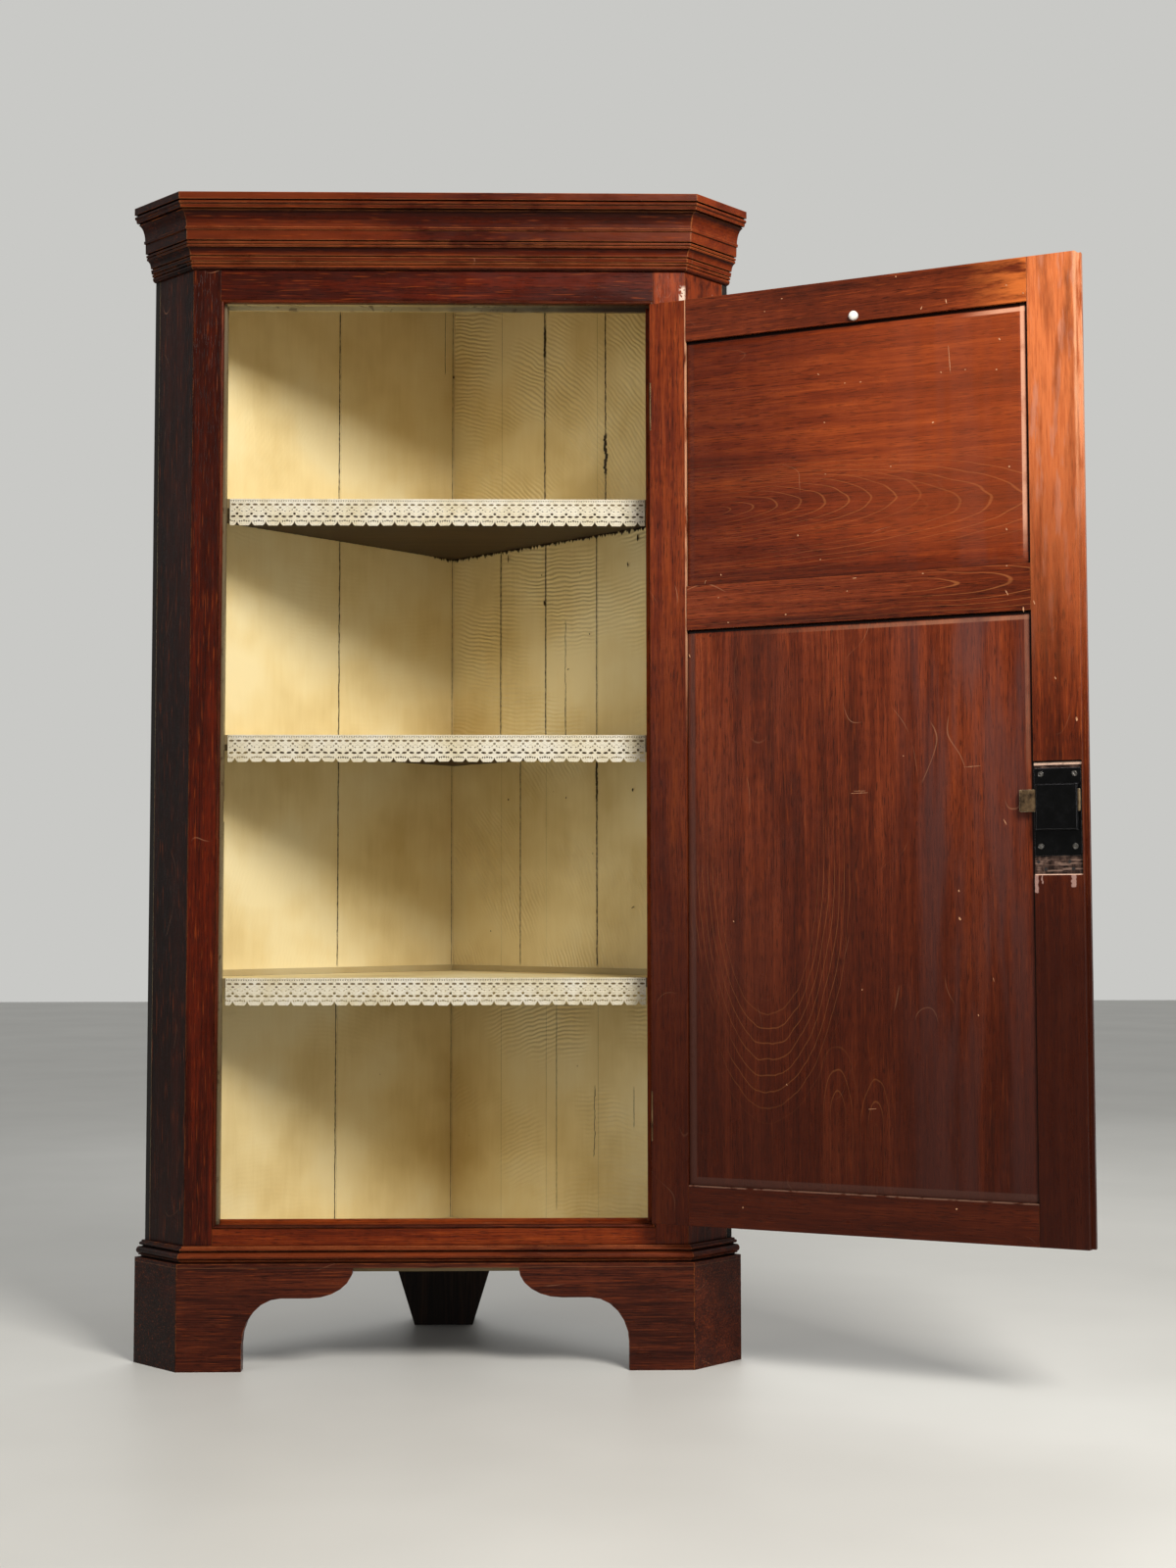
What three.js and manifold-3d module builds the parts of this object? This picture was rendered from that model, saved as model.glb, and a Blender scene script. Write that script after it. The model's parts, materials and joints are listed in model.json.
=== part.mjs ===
// A standing corner cupboard in mahogany, painted inside, with one framed and panelled door.
// Millimetres, +Z up. The cupboard faces -Y, its two backs meet at +Y, and +X is to the right of
// someone who stands in front of it. The origin is on the floor, under the middle of the back foot.
import * as THREE from "three";
import { mergeVertices } from "three/addons/utils/BufferGeometryUtils.js";
import Module from "manifold-3d";

const wasm = await Module();
wasm.setup();

// Fits that every piece shares
const seam = 0.3; // glue line or fitting gap between neighbouring pieces
const overrun = 2; // how far a cutter runs past the face that it opens
const weld = 0.0005; // vertices closer than this are one
const cantAngle = Math.PI / 4; // the canted sides stand at this angle to the front
const mitreSlope = Math.tan(cantAngle / 2);

// Carcass: a front, two canted sides square to the backs, and two backs that meet in the corner
const overallHeight = 1850;
const frontWidth = 787;
const cantLength = 104.5;
const cantThickness = 18;
const wallThickness = 12;
const topThickness = 12;
const bottomThickness = 16;
const floorDrop = 3.7; // from the top of the plinth down to the floor inside

// Face frame round the door
const frame = {
  thickness: 30,
  leftStileWidth: 43.5,
  rightStileWidth: 51,
  sillHeight: 51, // of the rail below the door
  headHeight: 161.5, // from the cupboard's top to the lower edge of the rail above the door
  stopWidth: 6, // the lip that the door closes against, inside the doorway
  lockStopWidth: 3.5, // the same on the lock side, where the door's rebated edge meets it
  tenonThickness: 9,
  tenonLength: 30,
  tenonShoulder: 12,
};

// Back boards, as widths measured from the inner corner
const leftBoardWidths = [268, 363];
const rightBoardWidths = [128, 113, 125, 265];

// Shelves. The places of their upper faces are shares of the height inside.
const shelfPlaceShares = [0.2645, 0.4952, 0.7221];
const shelf = { thickness: 15, clearance: 1 };
const shelfBatten = { height: 10, thickness: 7 };

// Lace that hangs on the front edge of each shelf
const lace = {
  drop: 42,
  thickness: 1.2,
  endClearance: 2,
  scallops: 29,
  scallopDepth: 8,
  slotWidth: 6.5,
  slotHeight: 5,
  slotDrop: 22,
};

// Cornice and base moulding. A member is a form, its share of the height, and the share of the
// projection where it ends. "across" is a quarter curve that sets off level.
const cornice = { height: 114, projection: 43 };
const corniceShares = [
  ["fillet", 0.098, 1],
  ["step", 0, 0.86],
  ["fillet", 0.016, 0.86],
  ["step", 0, 0.92],
  ["torus", 0.053, 0.92],
  ["fillet", 0.041, 0.9],
  ["step", 0, 0.76],
  ["fillet", 0.02, 0.76],
  ["step", 0, 0.82],
  ["across", 0.212, 0.52],
  ["step", 0, 0.57],
  ["fillet", 0.038, 0.56],
  ["step", 0, 0.5],
  ["fillet", 0.139, 0.49],
  ["step", 0, 0.38],
  ["fillet", 0.02, 0.38],
  ["step", 0, 0.46],
  ["fillet", 0.03, 0.46],
  ["step", 0, 0.4],
  ["fillet", 0.012, 0.4],
  ["step", 0, 0.44],
  ["fillet", 0.028, 0.43],
  ["across", 0.103, 0.25],
  ["step", 0, 0.15],
  ["fillet", 0.02, 0.15],
  ["step", 0, 0.24],
  ["fillet", 0.054, 0.21],
  ["step", 0, 0.14],
  ["fillet", 0.013, 0.14],
  ["step", 0, 0.19],
  ["fillet", 0.03, 0.17],
  ["step", 0, 0.08],
  ["torus", 0.073, 0.03],
];
const baseMould = { height: 25, projection: 17, topShare: 0.36 };
const baseMouldShares = [
  ["fillet", 0.1, 0.4],
  ["step", 0, 0.52],
  ["torus", 0.2, 0.5],
  ["step", 0, 0.26],
  ["fillet", 0.08, 0.26],
  ["step", 0, 0.66],
  ["torus", 0.44, 0.66],
  ["step", 0, 0.72],
  ["fillet", 0.08, 0.72],
  ["step", 0, 0.42],
  ["fillet", 0.1, 0.42],
];
const curveSteps = 6; // facets of one curved member

// Plinth with its bracket feet
const plinth = {
  height: 164.7,
  projection: 19,
  thickness: 24,
  footWidth: 101, // from the front arris to the inner end of the foot at the floor
  kneeRun: 61, // a hollow from the foot up to the bracket's flat
  kneeLow: 40,
  flatRun: 44,
  flatDrop: 52.7, // from the plinth's top edge to the bracket's flat
  cuspRun: 67, // a round from the flat up to the arch
  archDrop: 6.7,
};
const footBlock = { width: 62, depth: 34 };
const backFoot = {
  sideways: -6,
  cornerDistance: 184.3, // from the outer corner of the backs to the front of the foot
  footWidth: 100,
  footDepth: 70,
  headWidth: 190,
  headDepth: 70,
  footPoint: 22, // how far the foot runs back to its point
  headPoint: 72,
};

// Door
const door = {
  openAngle: THREE.MathUtils.degToRad(154.9),
  thickness: 22,
  hingeGap: 0.7, // from the doorway's edge to the door
  freeGap: 1.5,
  topGap: 9,
  bottomGap: 5.5,
  stopGap: 1,
  hingeStileWidth: 61.2,
  lockStileWidth: 77.9,
  topRailWidth: 66.3,
  upperPanelHeight: 390,
  middleRailWidth: 69,
  bottomRailWidth: 61.6,
  lipWidth: 4.5, // the free edge is rebated, and its front lip is this much wider
  lipThickness: 9.5,
  edgeBevel: 2.5,
  grooveWidth: 8,
  grooveDepth: 9,
  grooveSetback: 8, // from the door's front face
  tenonLength: 40,
};
const panel = {
  tongueDepth: 8,
  backMargin: 14,
  backRecess: 4,
  frontMargin: 40,
  frontStep: 1.5,
  frontRecess: 2.5,
};
const bead = { width: 5.2, seatDepth: 8, proud: 2.5 };

// Butt hinges
const hinge = {
  endDistance: 165, // from the door's end to the middle of the hinge
  height: 76,
  leafWidth: 22,
  leafThickness: 2,
  knuckleRadius: 4,
  knuckles: 5,
  pinRadius: 1.8,
  pinHead: 3,
  pinHeadRadius: 3,
  boreClearance: 0.3,
  pinProud: 4.5, // the pin's axis stands this far in front of the closed door's face
  pinInset: 4.3, // and this far behind the doorway's edge, over the bead
  bend: 2.2, // how far the door's leaf is bent in towards its knuckles
};
const roundSides = 16;

// Lock: a straight cupboard lock on the inner face of the lock stile. "up" is a height above the
// lower edge of its plate.
const lock = {
  edgeMargin: 9.4, // from the door's free edge to the plate
  railDistance: 233, // from the middle rail down to the plate
  plateWidth: 68,
  plateHeight: 127,
  plateThickness: 1.5,
  caseInset: 3.5,
  caseUp: 37,
  caseHeight: 67,
  caseThickness: 11,
  recessDown: 28,
  recessUp: 11, // above the plate's upper edge
  recessDepth: 3.8,
  recessMargin: 1.5,
  boltUp: 64,
  boltHeight: 32,
  boltThickness: 4.5,
  boltTail: 21,
  boltLift: 0.4, // from the door's inner face to the bolt
  mortiseDepth: 9,
};
const keyhole = {
  up: 59,
  eyeRadius: 4.5,
  slotWidth: 4.5,
  slotDrop: 15,
  rim: 1.3,
  rimDepth: 6,
};
const stopButton = { radius: 7.2, height: 8, aboveRailEdge: 8 };

// Finishes, as colour, roughness and metalness
const finishes = {
  mahogany: [0x5a2013, 0.38, 0],
  paintedBoard: [0xe6d8a4, 0.7, 0],
  paintedShelf: [0xe3d6a6, 0.65, 0],
  rawPine: [0x6b5138, 0.85, 0],
  darkPine: [0x2a1c14, 0.85, 0],
  lace: [0xe9e0c6, 0.9, 0],
  japannedIron: [0x0d0d0e, 0.25, 0.4],
  brass: [0x8d7746, 0.45, 0.9],
  whiteRubber: [0xe8e6df, 0.5, 0],
};

// Values that follow from the sizes above
const halfFront = frontWidth / 2;
const cantReach = cantLength * Math.SQRT1_2; // how far a canted side runs sideways, and back
const halfWidth = halfFront + cantReach;
const wallLength = halfWidth * Math.SQRT2;
const cornerY = halfWidth + cantReach; // where the outer faces of the backs meet
const backFootFront = cornerY - backFoot.cornerDistance;
const openingHigh = overallHeight - frame.headHeight; // the rails' edges
const leftJoint = halfFront - frame.leftStileWidth; // from the middle to the stiles' edges
const rightJoint = halfFront - frame.rightStileWidth;
const doorwayLeft = leftJoint - bead.width; // and to the doorway between the beads
const doorwayRight = rightJoint - bead.width;
const topUnderside = overallHeight - topThickness;
const bottomTop = plinth.height - floorDrop;
const bottomUnderside = bottomTop - bottomThickness;
const carcassLow = plinth.height + seam; // the stiles and rails stand on the plinth
const carcassHigh = topUnderside - seam;
const shelfTops = shelfPlaceShares.map((share) => bottomTop + share * (topUnderside - bottomTop));
const openingLow = carcassLow + frame.sillHeight;
const doorLow = openingLow + bead.width + door.bottomGap;
const doorHigh = openingHigh - bead.width - door.topGap;
const doorInside = hinge.pinProud + door.thickness; // the door's inner face, in the door's own frame
const pinX = doorwayRight + hinge.pinInset;
const doorNear = pinX - doorwayRight + door.hingeGap; // from the pin to the door's hinged edge
const doorFar = pinX + doorwayLeft - door.freeGap; // and to its free edge
const lockStileNear = doorFar - door.lockStileWidth;
const hingeStileFar = doorNear + door.hingeStileWidth;

// Geometry helpers

function shapeOf(points) {
  return new THREE.Shape(points.map(([x, y]) => new THREE.Vector2(x, y)));
}

// A plan outline raised from one height to another
function prism(points, low, high) {
  const geometry = new THREE.ExtrudeGeometry(shapeOf(points), { depth: high - low, bevelEnabled: false });
  return geometry.translate(0, 0, low);
}

// A front elevation, points as [x, z], given thickness from one y to another
function slab(points, nearY, farY) {
  return prism(points, -farY, -nearY).rotateX(Math.PI / 2);
}

// A section, points as [y, z], run along X
function run(points, nearX, farX) {
  const turn = new THREE.Matrix4().makeBasis(
    new THREE.Vector3(0, 1, 0),
    new THREE.Vector3(0, 0, 1),
    new THREE.Vector3(1, 0, 0),
  );
  return prism(points, nearX, farX).applyMatrix4(turn);
}

function rectangle(x0, y0, x1, y1) {
  return [[x0, y0], [x1, y0], [x1, y1], [x0, y1]];
}

function block(x0, y0, z0, x1, y1, z1) {
  return prism(rectangle(x0, y0, x1, y1), z0, z1);
}

function uprightCylinder(radius, low, high, x = 0, y = 0) {
  const geometry = new THREE.CylinderGeometry(radius, radius, high - low, roundSides);
  return geometry.rotateX(Math.PI / 2).translate(x, y, (low + high) / 2);
}

function signedVolume(geometry) {
  const flat = geometry.index ? geometry.toNonIndexed() : geometry;
  const p = flat.getAttribute("position");
  const [a, b, c] = [new THREE.Vector3(), new THREE.Vector3(), new THREE.Vector3()];
  let volume = 0;
  for (let i = 0; i < p.count; i += 3) {
    a.fromBufferAttribute(p, i);
    b.fromBufferAttribute(p, i + 1);
    c.fromBufferAttribute(p, i + 2);
    volume += a.dot(b.cross(c)) / 6;
  }
  return volume;
}

function turnedInsideOut(geometry) {
  const index = geometry.index.array;
  for (let i = 0; i < index.length; i += 3) {
    [index[i + 1], index[i + 2]] = [index[i + 2], index[i + 1]];
  }
  return geometry;
}

// A skin over rings of as many points each, closed by flat convex caps
function loft(rings) {
  const count = rings[0].length;
  const triangles = [];
  for (let r = 0; r + 1 < rings.length; r += 1) {
    for (let i = 0; i < count; i += 1) {
      const [a, b] = [r * count + i, r * count + ((i + 1) % count)];
      triangles.push(a, b, b + count, a, b + count, a + count);
    }
  }
  const last = (rings.length - 1) * count;
  for (let i = 1; i + 1 < count; i += 1) {
    triangles.push(0, i + 1, i, last, last + i, last + i + 1);
  }
  const geometry = new THREE.BufferGeometry();
  geometry.setAttribute("position", new THREE.Float32BufferAttribute(rings.flat(2), 3));
  geometry.setIndex(triangles);
  return signedVolume(geometry) < 0 ? turnedInsideOut(geometry) : geometry;
}

function solidOf(geometry) {
  const bare = geometry.clone();
  bare.deleteAttribute("normal");
  bare.deleteAttribute("uv");
  const merged = mergeVertices(bare, weld);
  const vertProperties = new Float32Array(merged.getAttribute("position").array);
  const triVerts = new Uint32Array(merged.index.array);
  return new wasm.Manifold(new wasm.Mesh({ numProp: 3, vertProperties, triVerts }));
}

function geometryOf(solid) {
  const made = solid.getMesh();
  const geometry = new THREE.BufferGeometry();
  geometry.setAttribute("position", new THREE.BufferAttribute(made.vertProperties, 3));
  geometry.setIndex(new THREE.BufferAttribute(made.triVerts, 1));
  return geometry;
}

function cut(geometry, ...cutters) {
  return geometryOf(cutters.reduce((left, cutter) => left.subtract(solidOf(cutter)), solidOf(geometry)));
}

function join(geometry, ...others) {
  return geometryOf(others.reduce((whole, other) => whole.add(solidOf(other)), solidOf(geometry)));
}

function common(geometry, other) {
  return geometryOf(solidOf(geometry).intersect(solidOf(other)));
}

// The same piece for the other hand
function mirrored(geometry) {
  const indexed = geometry.index ? geometry.clone() : mergeVertices(geometry.clone());
  return turnedInsideOut(indexed.scale(-1, 1, 1));
}

function piece(name, finish, geometry) {
  const [color, roughness, metalness] = finishes[finish];
  const smooth = geometry.index ? geometry.toNonIndexed() : geometry;
  smooth.computeVertexNormals();
  const mesh = new THREE.Mesh(smooth, new THREE.MeshStandardMaterial({ color, roughness, metalness }));
  mesh.name = name;
  return mesh;
}

// Plan of the carcass. "Outside" is how far a line stands outside the carcass's faces.

function arris(outside) {
  return [halfFront + outside * mitreSlope, -outside];
}

function alongCant(distance, outside) {
  const [x, y] = [distance + outside, distance - outside];
  return [halfFront + x * Math.SQRT1_2, y * Math.SQRT1_2];
}

function bothHands(rightPoints) {
  const left = rightPoints.map(([x, y]) => [-x, y]).reverse();
  return [...rightPoints, ...left.filter(([x]) => x !== 0)];
}

// Where the inner faces of cant and wall meet, and the inner corner
function insidePlan(frontY, gap) {
  const cantDepth = cantThickness + gap;
  const wallDepth = wallThickness + gap;
  const front = [frontY + halfFront - cantDepth * Math.SQRT2, frontY];
  const side = alongCant(cantLength - wallDepth, -cantDepth);
  const corner = [0, cornerY - wallDepth * Math.SQRT2];
  return bothHands([front, side, corner]);
}

// A section run along one face of the carcass, in that face's own frame: x runs along the face
// from its arris, and -y points out. The first end is mitred, and the far end too if it is asked for.
function faceRun(section, length, farMitred) {
  const reach = cantLength;
  const near = (y) => y * mitreSlope + seam / 2;
  const far = (y) => (farMitred ? length - near(y) : length);
  const mask = [[near(-reach), -reach], [far(-reach), -reach], [far(reach), reach], [near(reach), reach]];
  const heights = section.map(([, z]) => z);
  const raw = run(section, -reach, length + reach);
  return common(raw, prism(mask, Math.min(...heights) - overrun, Math.max(...heights) + overrun));
}

function placeOnFront(mesh) {
  mesh.position.set(-halfFront, 0, 0);
  return mesh;
}

function placeOnCant(mesh, side) {
  mesh.position.set(side * halfFront, 0, 0);
  mesh.rotation.z = side * cantAngle;
  return mesh;
}

// A wall's own frame: x runs from the canted side to the corner, and -y points out of the cupboard
function placeOnWall(mesh, side) {
  mesh.position.set(side * halfWidth, cantReach, 0);
  mesh.rotation.z = side * (Math.PI - cantAngle);
  return mesh;
}

// Three pieces of one moulding: the front, and a return on each canted side
function mouldedSet(name, finish, section) {
  const side = faceRun(section, cantLength, false);
  return [
    placeOnFront(piece(`${name}_front`, finish, faceRun(section, frontWidth, true))),
    placeOnCant(piece(`${name}_return_left`, finish, mirrored(side)), -1),
    placeOnCant(piece(`${name}_return_right`, finish, side), 1),
  ];
}

// Moulding profiles

// One member's points, from [p, z], where it starts, over its drop to the projection "end"
function memberPoints(form, [p, z], drop, end) {
  const points = [];
  for (let i = 1; i <= curveSteps; i += 1) {
    const turn = (i / curveSteps) * (Math.PI / 2);
    const [rise, fall] = [Math.sin(turn), 1 - Math.cos(turn)];
    if (form === "across") points.push([p + (end - p) * rise, z - drop * fall]);
    if (form === "torus") {
      const along = (1 - Math.cos(2 * turn)) / 2;
      points.push([p + (end - p) * along + (Math.sin(2 * turn) * drop) / 2, z - drop * along]);
    }
  }
  return points.length ? points : [[end, z - drop]];
}

// A section as [y, z]: the outline down the front of the moulding, and a flat back
function mouldSection({ height, projection }, top, startShare, shares) {
  const outline = [[startShare * projection, top]];
  for (const [form, heightShare, endShare] of shares) {
    const from = outline[outline.length - 1];
    outline.push(...memberPoints(form, from, heightShare * height, endShare * projection));
  }
  const low = outline[outline.length - 1][1];
  const front = outline.map(([p, z]) => [-p, z]);
  return [...front, [-seam, low], [-seam, top]];
}

// Face frame

// The plan of a stile, from its joint with the rails out to the mitre with the canted side
function stilePlan(joint) {
  const [outX, outY] = arris(0);
  const [inX, inY] = arris(-frame.thickness);
  return [[joint, 0], [outX - seam / 2, outY], [inX - seam / 2, inY], [joint, frame.thickness]];
}

function frameTenons(low, high) {
  const nearY = (frame.thickness - frame.tenonThickness) / 2;
  const [zLow, zHigh] = [low + frame.tenonShoulder, high - frame.tenonShoulder];
  return { nearY, farY: nearY + frame.tenonThickness, zLow, zHigh };
}

const jambFront = bead.seatDepth + seam; // the frame is rebated this deep for the beads
const stopFront = door.thickness + door.stopGap; // front of the lip that the closed door meets

// A rail with its tenons. "edge" is its edge at the doorway, and "into" points into the doorway.
function frameRail(name, low, high, edge, into) {
  const back = frame.thickness;
  const level = (section, left, right) => run(section, -left + seam, right - seam);
  const lip = (front, reach) => {
    const end = edge + into * reach;
    return rectangle(front, Math.min(edge, end), back, Math.max(edge, end));
  };
  const stopReach = bead.width + frame.stopWidth;
  const stopLeft = doorwayLeft - frame.lockStopWidth;
  const tenon = frameTenons(low, high);
  const body = join(
    level(rectangle(0, low, back, high), leftJoint, rightJoint),
    level(lip(jambFront, bead.width), doorwayLeft, doorwayRight),
    level(lip(stopFront, stopReach), stopLeft, doorwayRight - frame.stopWidth),
    block(
      -leftJoint - frame.tenonLength,
      tenon.nearY,
      tenon.zLow,
      rightJoint + frame.tenonLength,
      tenon.farY,
      tenon.zHigh,
    ),
  );
  return piece(name, "mahogany", body);
}

const frameTopRail = () => frameRail("frame_top_rail", openingHigh, carcassHigh, openingHigh, -1);
const frameBottomRail = () => frameRail("frame_bottom_rail", carcassLow, openingLow, openingLow, 1);

// Mortises for both rails, in a right-hand stile
function stileMortises(joint) {
  return [[openingHigh, carcassHigh], [carcassLow, openingLow]].map(([low, high]) => {
    const tenon = frameTenons(low, high);
    return block(
      joint - overrun,
      tenon.nearY - seam,
      tenon.zLow - seam,
      joint + frame.tenonLength + seam,
      tenon.farY + seam,
      tenon.zHigh + seam,
    );
  });
}

// A stile as a right-hand one, with the strip behind the bead and the lip that the door meets
function stile(joint, stopWidth, lipFront) {
  const strip = (reach, frontY, inset) => {
    const section = rectangle(joint - reach, frontY, joint + seam, frame.thickness);
    return prism(section, openingLow + inset, openingHigh - inset);
  };
  return join(
    cut(prism(stilePlan(joint), carcassLow, carcassHigh), ...stileMortises(joint)),
    strip(bead.width, jambFront, seam),
    strip(bead.width + stopWidth, lipFront, bead.width + seam),
  );
}

function rightStile() {
  const leafRecess = (low, high) =>
    block(
      doorwayRight - overrun,
      -overrun,
      low - seam,
      doorwayRight + hinge.leafThickness + seam,
      hinge.leafWidth + seam,
      high + seam,
    );
  const recesses = hingeSpans().map((span) => leafRecess(...span));
  const body = stile(rightJoint, frame.stopWidth, stopFront);
  return piece("frame_stile_right", "mahogany", cut(body, ...recesses));
}

// The left stile's lip is deeper, to take the door's rebated edge, and holds the bolt's mortise
function leftStile() {
  const boltNear = door.thickness + lock.boltLift;
  const lipFace = doorwayLeft - frame.lockStopWidth;
  const mortise = block(
    lipFace - overrun,
    boltNear - seam,
    boltLow - 2 * seam,
    lipFace + lock.mortiseDepth,
    frame.thickness + overrun,
    boltHigh + 2 * seam,
  );
  const body = stile(leftJoint, frame.lockStopWidth, door.lipThickness + door.stopGap);
  return piece("frame_stile_left", "mahogany", mirrored(cut(body, mortise)));
}

// Cock bead: a strip with a round nose, let into the rebate round the doorway and mitred at the
// corners. Its section has x in from the stile's or rail's edge, and y as the cupboard's own.
function beadSection() {
  const radius = (bead.width - seam) / 2;
  const middle = seam + radius;
  const points = [[seam, bead.seatDepth], [bead.width, bead.seatDepth]];
  for (let i = 0; i <= curveSteps; i += 1) {
    const turn = (i / curveSteps) * Math.PI;
    points.push([middle + radius * Math.cos(turn), radius - bead.proud - radius * Math.sin(turn)]);
  }
  return points;
}

// A strip that stands along z from 0 to length, its outer edge at x = 0, mitred at both ends
function beadStrip(length) {
  const reach = bead.width + overrun;
  const [low, high] = [seam, length - seam];
  const mask = [
    [-overrun, low - overrun],
    [reach, low + reach],
    [reach, high - reach],
    [-overrun, high + overrun],
  ];
  return common(prism(beadSection(), 0, length), slab(mask, -bead.proud - overrun, bead.seatDepth + overrun));
}

// The bead on the hinge side makes room for the hinges' knuckles and leaves
function doorwayBeads() {
  const upright = beadStrip(openingHigh - openingLow);
  const level = beadStrip(leftJoint + rightJoint);
  const knuckleRoom = hinge.knuckleRadius + 2 * seam;
  const notches = hingeSpans().flatMap(([low, high]) => [
    uprightCylinder(knuckleRoom, low - seam, high + hinge.pinHead + seam, pinX, -hinge.pinProud),
    block(
      doorwayRight - overrun,
      -bead.proud - overrun,
      low - seam,
      doorwayRight + hinge.leafThickness + seam,
      bead.seatDepth + overrun,
      high + hinge.pinHead + seam,
    ),
  ]);
  const hingeSide = cut(mirrored(upright).translate(rightJoint, 0, openingLow), ...notches);
  const lockSide = upright.clone().translate(-leftJoint, 0, openingLow);
  const bottom = level.clone().rotateY(-Math.PI / 2).translate(rightJoint, 0, openingLow);
  const top = level.clone().rotateY(Math.PI / 2).translate(-leftJoint, 0, openingHigh);
  return [
    piece("door_bead_lock_side", "mahogany", lockSide),
    piece("door_bead_hinge_side", "mahogany", hingeSide),
    piece("door_bead_bottom", "mahogany", bottom),
    piece("door_bead_top", "mahogany", top),
  ];
}

// Carcass boards

function cantedSides() {
  const section = rectangle(0, carcassLow, cantThickness, carcassHigh);
  const board = faceRun(section, cantLength - wallThickness - seam, false);
  return [
    placeOnCant(piece("canted_side_left", "mahogany", mirrored(board)), -1),
    placeOnCant(piece("canted_side_right", "mahogany", board), 1),
  ];
}

// Boards side by side from the corner to the canted side; the left wall runs past the right one
function backWall(side, widths, cornerEnd) {
  const name = side < 0 ? "back_board_left" : "back_board_right";
  let far = cornerEnd;
  return widths.map((width, i) => {
    const last = i === widths.length - 1;
    const near = last ? 0 : wallLength - wallThickness - widths.slice(0, i + 1).reduce((a, b) => a + b, 0);
    const board = block(near + (last ? 0 : seam / 2), 0, bottomUnderside, far, wallThickness, carcassHigh);
    far = near - seam / 2;
    const geometry = side < 0 ? mirrored(board) : board;
    return placeOnWall(piece(`${name}_${i + 1}`, "paintedBoard", geometry), side);
  });
}

function shelves() {
  return shelfTops.map((top, i) => {
    const plan = insidePlan(frame.thickness + shelf.clearance, seam);
    return piece(`shelf_${i + 1}`, "paintedShelf", prism(plan, top - shelf.thickness, top));
  });
}

// Small battens that stand on the lowest shelf along both walls
function shelfBattens() {
  const low = shelfTops[0] + seam;
  const nearY = wallThickness + seam;
  const farX = wallLength - wallThickness - seam;
  const nearX = cantThickness + seam;
  const batten = (endX) =>
    block(nearX, nearY, low, endX, nearY + shelfBatten.thickness, low + shelfBatten.height);
  const right = batten(farX - shelfBatten.thickness - seam);
  return [
    placeOnWall(piece("shelf_batten_left", "paintedShelf", mirrored(batten(farX))), -1),
    placeOnWall(piece("shelf_batten_right", "paintedShelf", right), 1),
  ];
}

function bottomBoard() {
  const plan = insidePlan(frame.thickness + seam, seam);
  return piece("bottom_board", "paintedShelf", prism(plan, bottomUnderside, bottomTop));
}

function topBoard() {
  const corner = [0, cornerY];
  const plan = bothHands([arris(0), alongCant(cantLength, 0), corner]);
  return piece("top_board", "rawPine", prism(plan, topUnderside, overallHeight));
}

// Plinth

// The underside of the front plinth from the right foot to the middle: a hollow knee, a flat, and
// a round cusp up into the arch
function bracketCurve() {
  const footInner = halfFront + plinth.projection * mitreSlope - plinth.footWidth;
  const [flatHigh, archHigh] = [plinth.height - plinth.flatDrop, plinth.height - plinth.archDrop];
  const knee = footInner - plinth.kneeRun;
  const cusp = knee - plinth.flatRun;
  const points = [[footInner, -overrun]];
  for (let i = 0; i <= curveSteps; i += 1) {
    const turn = (i / curveSteps) * (Math.PI / 2);
    const rise = (flatHigh - plinth.kneeLow) * Math.sin(turn);
    points.push([knee + plinth.kneeRun * Math.cos(turn), plinth.kneeLow + rise]);
  }
  for (let i = 0; i <= curveSteps; i += 1) {
    const turn = (i / curveSteps) * (Math.PI / 2);
    const drop = (archHigh - flatHigh) * Math.cos(turn);
    points.push([cusp - plinth.cuspRun * Math.sin(turn), archHigh - drop]);
  }
  return points;
}

function plinthPieces() {
  const inner = plinth.thickness - plinth.projection;
  const section = rectangle(-plinth.projection, 0, inner, plinth.height);
  const arch = slab(bothHands(bracketCurve()), -plinth.projection - overrun, inner + overrun);
  const front = cut(faceRun(section, frontWidth, true), arch.translate(halfFront, 0, 0));
  const rebate = block(
    cantLength - wallThickness - seam,
    -seam,
    bottomUnderside - seam,
    cantLength + overrun,
    inner + overrun,
    plinth.height + overrun,
  );
  const side = cut(faceRun(section, cantLength, false), rebate);
  return [
    placeOnFront(piece("plinth_front", "mahogany", front)),
    placeOnCant(piece("plinth_return_left", "mahogany", mirrored(side)), -1),
    placeOnCant(piece("plinth_return_right", "mahogany", side), 1),
  ];
}

// Glue blocks in the angle behind each front foot
function footBlocks() {
  const inside = plinth.projection - plinth.thickness - seam;
  const [cornerX, cornerY] = arris(inside);
  const plan = [
    [cornerX - footBlock.width, cornerY],
    [cornerX, cornerY],
    alongCant(footBlock.width, inside),
    alongCant(footBlock.width, inside - footBlock.depth),
    [cornerX - footBlock.width, cornerY + footBlock.depth],
  ];
  const right = prism(plan, 0, bottomUnderside - seam);
  return [
    piece("foot_block_left", "darkPine", mirrored(right)),
    piece("foot_block_right", "darkPine", right),
  ];
}

// The single back foot tapers down from the bottom board and comes to a point towards the corner
function backFootPiece() {
  const ring = (width, depth, point, z) => {
    const near = backFootFront;
    const middle = backFoot.sideways;
    return [
      [middle - width / 2, near, z],
      [middle + width / 2, near, z],
      [middle + width / 2, near + depth, z],
      [middle, near + depth + point, z],
      [middle - width / 2, near + depth, z],
    ];
  };
  const foot = ring(backFoot.footWidth, backFoot.footDepth, backFoot.footPoint, 0);
  const head = ring(backFoot.headWidth, backFoot.headDepth, backFoot.headPoint, bottomUnderside - seam);
  return piece("back_foot", "darkPine", loft([foot, head]));
}

// Lace edging

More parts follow.
